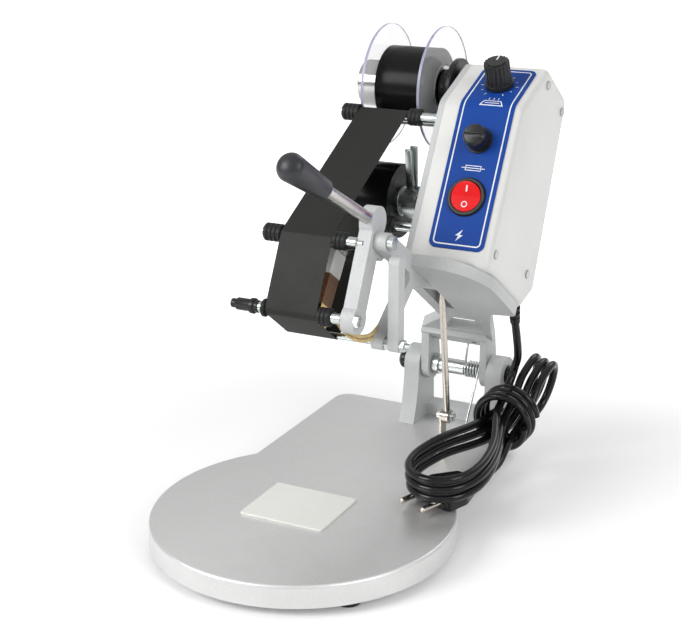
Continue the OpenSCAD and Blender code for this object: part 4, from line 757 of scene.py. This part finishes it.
# Guide rods: drawn zinc-plated steel, screwed in the side wall, the link and the leg. Four carry
# grooved black rubber collars that keep the ribbon in line, and one of them a black knob.
rod_zinc = metal(
    "rod_zinc", light=(0.60, 0.64, 0.62), dark=(0.42, 0.46, 0.445), stretch=(40.0, 1100.0, 1100.0),
    smooth=0.16, rough=0.30, relief=0.00002)
softened("guide_bars", "guide_rods", rod_zinc, edge=0.0004)
softened("knob_stem", "rod_knob", black_plastic, edge=0.0005)
arm_up, arm_ahead = arm_way(0.0, 1.0), arm_way(1.0, 0.0)
collar_radius, collar_bore, groove, rib_pitch = 0.0058, 0.0036, 0.0006, 0.003
left_start, left_start_low, left_end, right_start, right_end = -0.0325, -0.023, -0.0205, 0.0165, 0.025
top_rod, rear_rod, upper_rod, lower_rod = (0.1585, 0.125), (0.154, 0.050), (0.213, 0.015), (0.206, -0.0325)
collars = bmesh.new()
for rod in (top_rod, rear_rod, upper_rod, lower_rod):
    left = left_start_low if rod == lower_rod else left_start
    for start, end in ((left, left_end), (right_start, right_end)):
        width = end - start
        ribs = max(1, round(width / rib_pitch))
        line = [(collar_bore, 0.0)]
        for i in range(ribs):
            a, b = width * i / ribs, width * (i + 1) / ribs
            line += [(collar_radius - groove, a), (collar_radius, a + groove),
                     (collar_radius, b - groove), (collar_radius - groove, b)]
        line = [p for k, p in enumerate(line) if k == 0 or p != line[k - 1]] + [(collar_bore, width)]
        spin_into(collars, line, set_in(on_arm(start, *rod), arm_up, arm_ahead), steps=40)
stands_for(finished("ribbed_collars", collars, rubber), "guide_rings")


# Supply reel: a roll of black ribbon on a turned chrome hub between two clear acrylic discs. It
# turns on a fixed shaft against a stepped black drag hub.
winding, given, made = effect("winding", (
    ("Light", "c"), ("Dark", "c"), ("Centre", "v"), ("Layer", "f"), ("Smooth", "f"), ("Rough", "f")))
place = winding.nodes.new("ShaderNodeTexCoord").outputs["Object"]
from_axis = winding.nodes.new("ShaderNodeVectorMath")
from_axis.operation = "SUBTRACT"
winding.links.new(place, from_axis.inputs[0])
winding.links.new(given["Centre"], from_axis.inputs[1])
flattened = winding.nodes.new("ShaderNodeVectorMath")
flattened.operation = "MULTIPLY"
flattened.inputs[1].default_value = (0.0, 1.0, 1.0)
winding.links.new(from_axis.outputs["Vector"], flattened.inputs[0])
radius = winding.nodes.new("ShaderNodeVectorMath")
radius.operation = "LENGTH"
winding.links.new(flattened.outputs["Vector"], radius.inputs[0])
layer = winding.nodes.new("ShaderNodeTexNoise")
layer.noise_dimensions = "1D"
layer.inputs["Detail"].default_value = 4.0
winding.links.new(radius.outputs["Value"], layer.inputs["W"])
winding.links.new(given["Layer"], layer.inputs["Scale"])
layered = stepped(winding, layer.outputs["Fac"], low=0.35, high=0.65, start=0.0, end=1.0)
winding.links.new(blended(winding, layered, given["Light"], given["Dark"]), made["Colour"])
winding.links.new(
    spread(winding, cloud(winding, place, 120.0, detail=2.0), given["Smooth"], given["Rough"]),
    made["Roughness"])
winding.links.new(layer.outputs["Fac"], made["Height"])
winding_light, winding_dark, winding_relief = (0.009, 0.009, 0.009), (0.003, 0.003, 0.004), 0.0002


def wound(name, axis_at):
    return surface(name, winding, winding_relief, (winding_light, winding_dark), dict(
        Centre=tuple(on_arm(0.0, *axis_at)), Layer=1500.0, Smooth=0.20, Rough=0.26),
        dict(Specular_IOR_Level=0.1))


supply_axis, takeup_axis = (0.1275, 0.162), (0.135, 0.074)
softened("full_roll", "supply_roll", wound("full_winding", supply_axis), edge=0.0003)
chrome = metal(
    "chrome", light=(0.54, 0.54, 0.53), dark=(0.38, 0.38, 0.375), stretch=(900.0, 60.0, 60.0),
    smooth=0.08, rough=0.18, relief=0.00002)
softened("turned_hub", "reel_hub", chrome, edge=0.0010, segments=3)
softened("drag_step", "drag_hub", black_plastic, edge=0.0010, segments=3)
dress(steel, "supply_shaft")
acrylic = bpy.data.materials.new("acrylic")
acrylic.use_nodes = True
acrylic_tree = acrylic.node_tree
acrylic_shader = acrylic_tree.nodes["Principled BSDF"]
acrylic_shader.inputs["Base Color"].default_value = (0.97, 0.97, 0.98, 1.0)
acrylic_shader.inputs["Transmission Weight"].default_value = 0.86
acrylic_shader.inputs["IOR"].default_value = 1.16
place = acrylic_tree.nodes.new("ShaderNodeTexCoord").outputs["Object"]
scuff = cloud(acrylic_tree, place, 70.0, detail=4.0)
acrylic_tree.links.new(
    stepped(acrylic_tree, scuff, low=0.4, high=0.75, start=0.02, end=0.08),
    acrylic_shader.inputs["Roughness"])
acrylic_edge = moulded(
    "acrylic_edge", light=(0.52, 0.53, 0.72), dark=(0.42, 0.43, 0.62), patch=90.0, grain=900.0,
    smooth=0.25, rough=0.4, relief=0.00003, Transmission_Weight=0.4)
disc_radius, disc_bore, disc_thick, disc_edge = 0.042, 0.0161, 0.002, 0.0003
left_disc, right_disc = -0.023, 0.0185


def turned_ring(radius, bore, thick, edge):
    """The outline of a flat ring with its outer corners broken."""
    return [(bore, 0.0), (radius - edge, 0.0), (radius, edge), (radius, thick - edge),
            (radius - edge, thick), (bore, thick)]


discs = bmesh.new()
disc_line = turned_ring(disc_radius, disc_bore, disc_thick, disc_edge)
for x in (left_disc, right_disc):
    spin_into(discs, disc_line, set_in(on_arm(x, *supply_axis), arm_up, arm_ahead), steps=96)
hub_middle = on_arm(0.0, *supply_axis)
clear_discs = finished("clear_discs", discs, acrylic)
clear_discs.data.materials.append(acrylic_edge)
for face in clear_discs.data.polygons:
    off = face.center - hub_middle
    if math.hypot(off.y, off.z) > disc_radius - 1.5 * disc_edge:
        face.material_index = 1
stands_for(clear_discs, "reel_flanges")


# Take-up reel: used ribbon wound on a plain shaft. A zinc-plated lever turns beside it, a thick
# disc with two flat blades that open out a little towards their tips.
softened("used_roll", "takeup_roll", wound("used_winding", takeup_axis), edge=0.0003)
softened("takeup_spindle", "takeup_shaft", zinc, edge=0.0004)
lever_zinc = metal(
    "lever_zinc", light=(0.58, 0.62, 0.61), dark=(0.40, 0.44, 0.435), stretch=(300.0, 300.0, 300.0),
    smooth=0.22, rough=0.38, relief=0.00003)
lever_from, lever_deep, lever_radius, lever_bore, lever_edge = 0.020, 0.010, 0.011, 0.00355, 0.0005
lever = bmesh.new()
spin_into(lever, turned_ring(lever_radius, lever_bore, lever_deep, lever_edge),
          set_in(on_arm(lever_from, *takeup_axis), arm_up, arm_ahead))
lever_angle, blade_open, blade_aside, blade_in = math.radians(50), math.radians(3.5), 0.0019, 0.0035
blade_from, blade_to, blade_wide, blade_thick, blade_taper = 0.008, 0.0375, 0.005, 0.0030, 0.72
for side in (-1, 1):
    blade = bmesh.new()
    bmesh.ops.create_cube(blade, size=1.0)
    bmesh.ops.scale(blade, verts=blade.verts, vec=(blade_wide, blade_thick, blade_to - blade_from))
    bmesh.ops.scale(blade, verts=[v for v in blade.verts if v.co.z > 0.0], vec=(1.0, blade_taper, 1.0))
    bmesh.ops.bevel(blade, geom=list(blade.edges), offset=lever_edge, offset_type="OFFSET", segments=3,
                    profile=0.5, affect="EDGES", material=-1)
    bmesh.ops.translate(blade, verts=blade.verts, vec=(0.0, 0.0, (blade_from + blade_to) / 2))
    way = arm_way(math.cos(lever_angle + side * blade_open), math.sin(lever_angle + side * blade_open))
    root = on_arm(lever_from + blade_in, *takeup_axis) + side * blade_aside * arm_way(
        -math.sin(lever_angle), math.cos(lever_angle))
    blade.transform(set_in(root, across, way.cross(across)))
    add_into(lever, blade)
stands_for(finished("forked_lever", lever, lever_zinc), "tension_lever")


# Ribbon: a charcoal hot-foil film drawn from the full roll over the rods and under the type to the
# used roll, matt on the side that faces out.
ribbon_film = moulded(
    "ribbon_film", light=(0.026, 0.027, 0.024), dark=(0.020, 0.021, 0.019), patch=14.0, grain=900.0,
    smooth=0.46, rough=0.58, relief=0.00002, Specular_IOR_Level=0.15)
film_shape = bmesh.new()
film_shape.from_mesh(nodes["ribbon"].data)
bmesh.ops.remove_doubles(film_shape, verts=film_shape.verts, dist=2e-6)
film_width, film_gauge = 0.036, 0.0004
film_length = film_shape.calc_volume() / (film_width * film_gauge)
ribbon = stands_for(finished("ribbon_sheet", film_shape, ribbon_film, corner=40.0), "ribbon")


# Power cord: a thin black two-core lead in glossy vinyl. It leaves the gland under the box, drops
# to a hank of loops on the base, and ends in a flat two-pin plug.
cord_width = 0.0056
cord_exit = Vector((0.0855, 0.092376, 0.115598))
cord_drop = (
    (0.0855, 0.096964, 0.1010), (0.0850, 0.099964, 0.0930), (0.0840, 0.102464, 0.0860),
    (0.0820, 0.103464, 0.0795), (0.0806, 0.102764, 0.0734))
hank_waist = Vector((0.084, 0.081464, 0.049))
hank_front = Vector((0.074, -0.028536, 0.044))
hank_rear = Vector((0.092, 0.137464, 0.067))
hank_front_width, hank_rear_width, hank_waist_width = 0.044, 0.034, 0.004
hank_pitch, hank_step, hank_soft, hank_bend, hank_roll = 0.002, 0.0068, 0.2, 0.050, math.radians(75)
hank_loops, knots_a_turn, over_turn = 3, 60, 0.03
hank_axis = (hank_front - hank_rear).normalized()
hank_flat = Vector((1.0, -0.12, 0.0))
hank_across = (hank_flat - hank_axis * hank_flat.dot(hank_axis)).normalized()
hank_up = hank_axis.cross(hank_across)


def eased(t):
    """A smooth step from 0 to 1."""
    t = min(max(t, 0.0), 1.0)
    return t * t * (3 - 2 * t)


def soft_part(v):
    """The positive part of a length, with its corner rounded."""
    return (v + math.hypot(v, hank_bend) - hank_bend) / 2


def hank_at(turn):
    """A point of the hank, turn by turn: a long loop pinched at the waist, its rear rolled up."""
    a = math.radians(90 - 360 * turn)
    c = math.cos(a)
    to_front, to_rear = hank_front - hank_waist, hank_rear - hank_waist
    length = to_front.length if c > 0 else to_rear.length
    lobe = hank_front_width if c > 0 else hank_rear_width
    pinch = (math.hypot(c, hank_soft) - hank_soft) / (math.hypot(1, hank_soft) - hank_soft)
    near = math.floor(turn + 0.5)
    level = hank_step * ((hank_loops - 1) / 2 + 1 - near - eased((turn - near + 0.25) / 0.5))
    width = (hank_waist_width + lobe * pinch + hank_pitch * abs((turn + 1) % 2 - 1)) * math.sin(a)
    roll = hank_roll * eased(0.5 - c)
    return (hank_waist + to_front.normalized() * soft_part(length * c)
            + to_rear.normalized() * soft_part(-length * c)
            + hank_across * (width * math.cos(roll) - level * math.sin(roll))
            + hank_up * (width * math.sin(roll) + level * math.cos(roll)))


plug_aim = Vector((-7.0, -19.0, 0.0)).normalized()
plug_tail = Vector((0.089, 0.034464, 0.0266))
tail_pull, tail_knots = 0.014, 10
hank_end = hank_at(hank_loops + over_turn)
hank_run = (hank_end - hank_at(hank_loops + over_turn - 0.01)).normalized()


def tail_at(t):
    """A point of the bend from the hank's last loop to the plug."""
    return ((1 - t) ** 3 * hank_end + 3 * t * (1 - t) ** 2 * (hank_end + hank_run * tail_pull)
            + 3 * t * t * (1 - t) * (plug_tail - plug_aim * tail_pull) + t ** 3 * plug_tail)


lead_in, lead_in_knots = 0.04, 3
turn_share = (1 + over_turn / hank_loops) / knots_a_turn
cord_path = [cord_exit, *map(Vector, cord_drop)]
cord_path += [hank_at(lead_in * (i / lead_in_knots - 1)) for i in range(lead_in_knots)]
cord_path += [hank_at(i * turn_share) for i in range(hank_loops * knots_a_turn + 1)]
cord_path += [tail_at(i / tail_knots) for i in range(1, tail_knots + 1)]
cord_vinyl = moulded(
    "cord_vinyl", light=(0.005, 0.005, 0.006), dark=(0.010, 0.010, 0.011), patch=60.0, grain=900.0,
    smooth=0.14, rough=0.24, relief=0.00003, Specular_IOR_Level=0.3)
power_lead = swept("power_lead", cord_path, cord_width, fineness=4, material=cord_vinyl)
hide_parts("power_cord", "cord_hank")
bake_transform(power_lead, "arm", "base", start=(0.0855, 0.0925, 0.1150), end=(0.0855, 0.0995, 0.0820))


# Tie: three turns of the same vinyl lead, wound round the hank's waist to hold its loops together
# where they lie on the base.
tie_turns, tie_radius, tie_pitch, knots_a_tie = 3, 0.01875, 0.0064, 36
tie_path = [
    hank_waist + hank_axis * tie_pitch * (i / knots_a_tie - tie_turns / 2)
    + tie_radius * (hank_across * math.cos(math.tau * i / knots_a_tie)
                    + hank_up * math.sin(math.tau * i / knots_a_tie))
    for i in range(tie_turns * knots_a_tie + 1)]
lead_tie = swept("lead_tie", tie_path, cord_width, fineness=4, material=cord_vinyl)
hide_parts("cord_tie")
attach(lead_tie, "base")


# Plug and gland: soft black mouldings on the lead's two ends. The plug is a flat body with a
# tapered neck and two round nickelled pins; the gland is a ribbed sleeve clipped in the box.
plug_shell = softened("plug_shell", "plug_body", cord_vinyl, edge=0.0018, segments=4)
softened("gland_sleeve", "cord_gland", cord_vinyl, edge=0.0003)
pins = softened("nickelled_pins", "plug_pins", nickel, edge=0.0006)
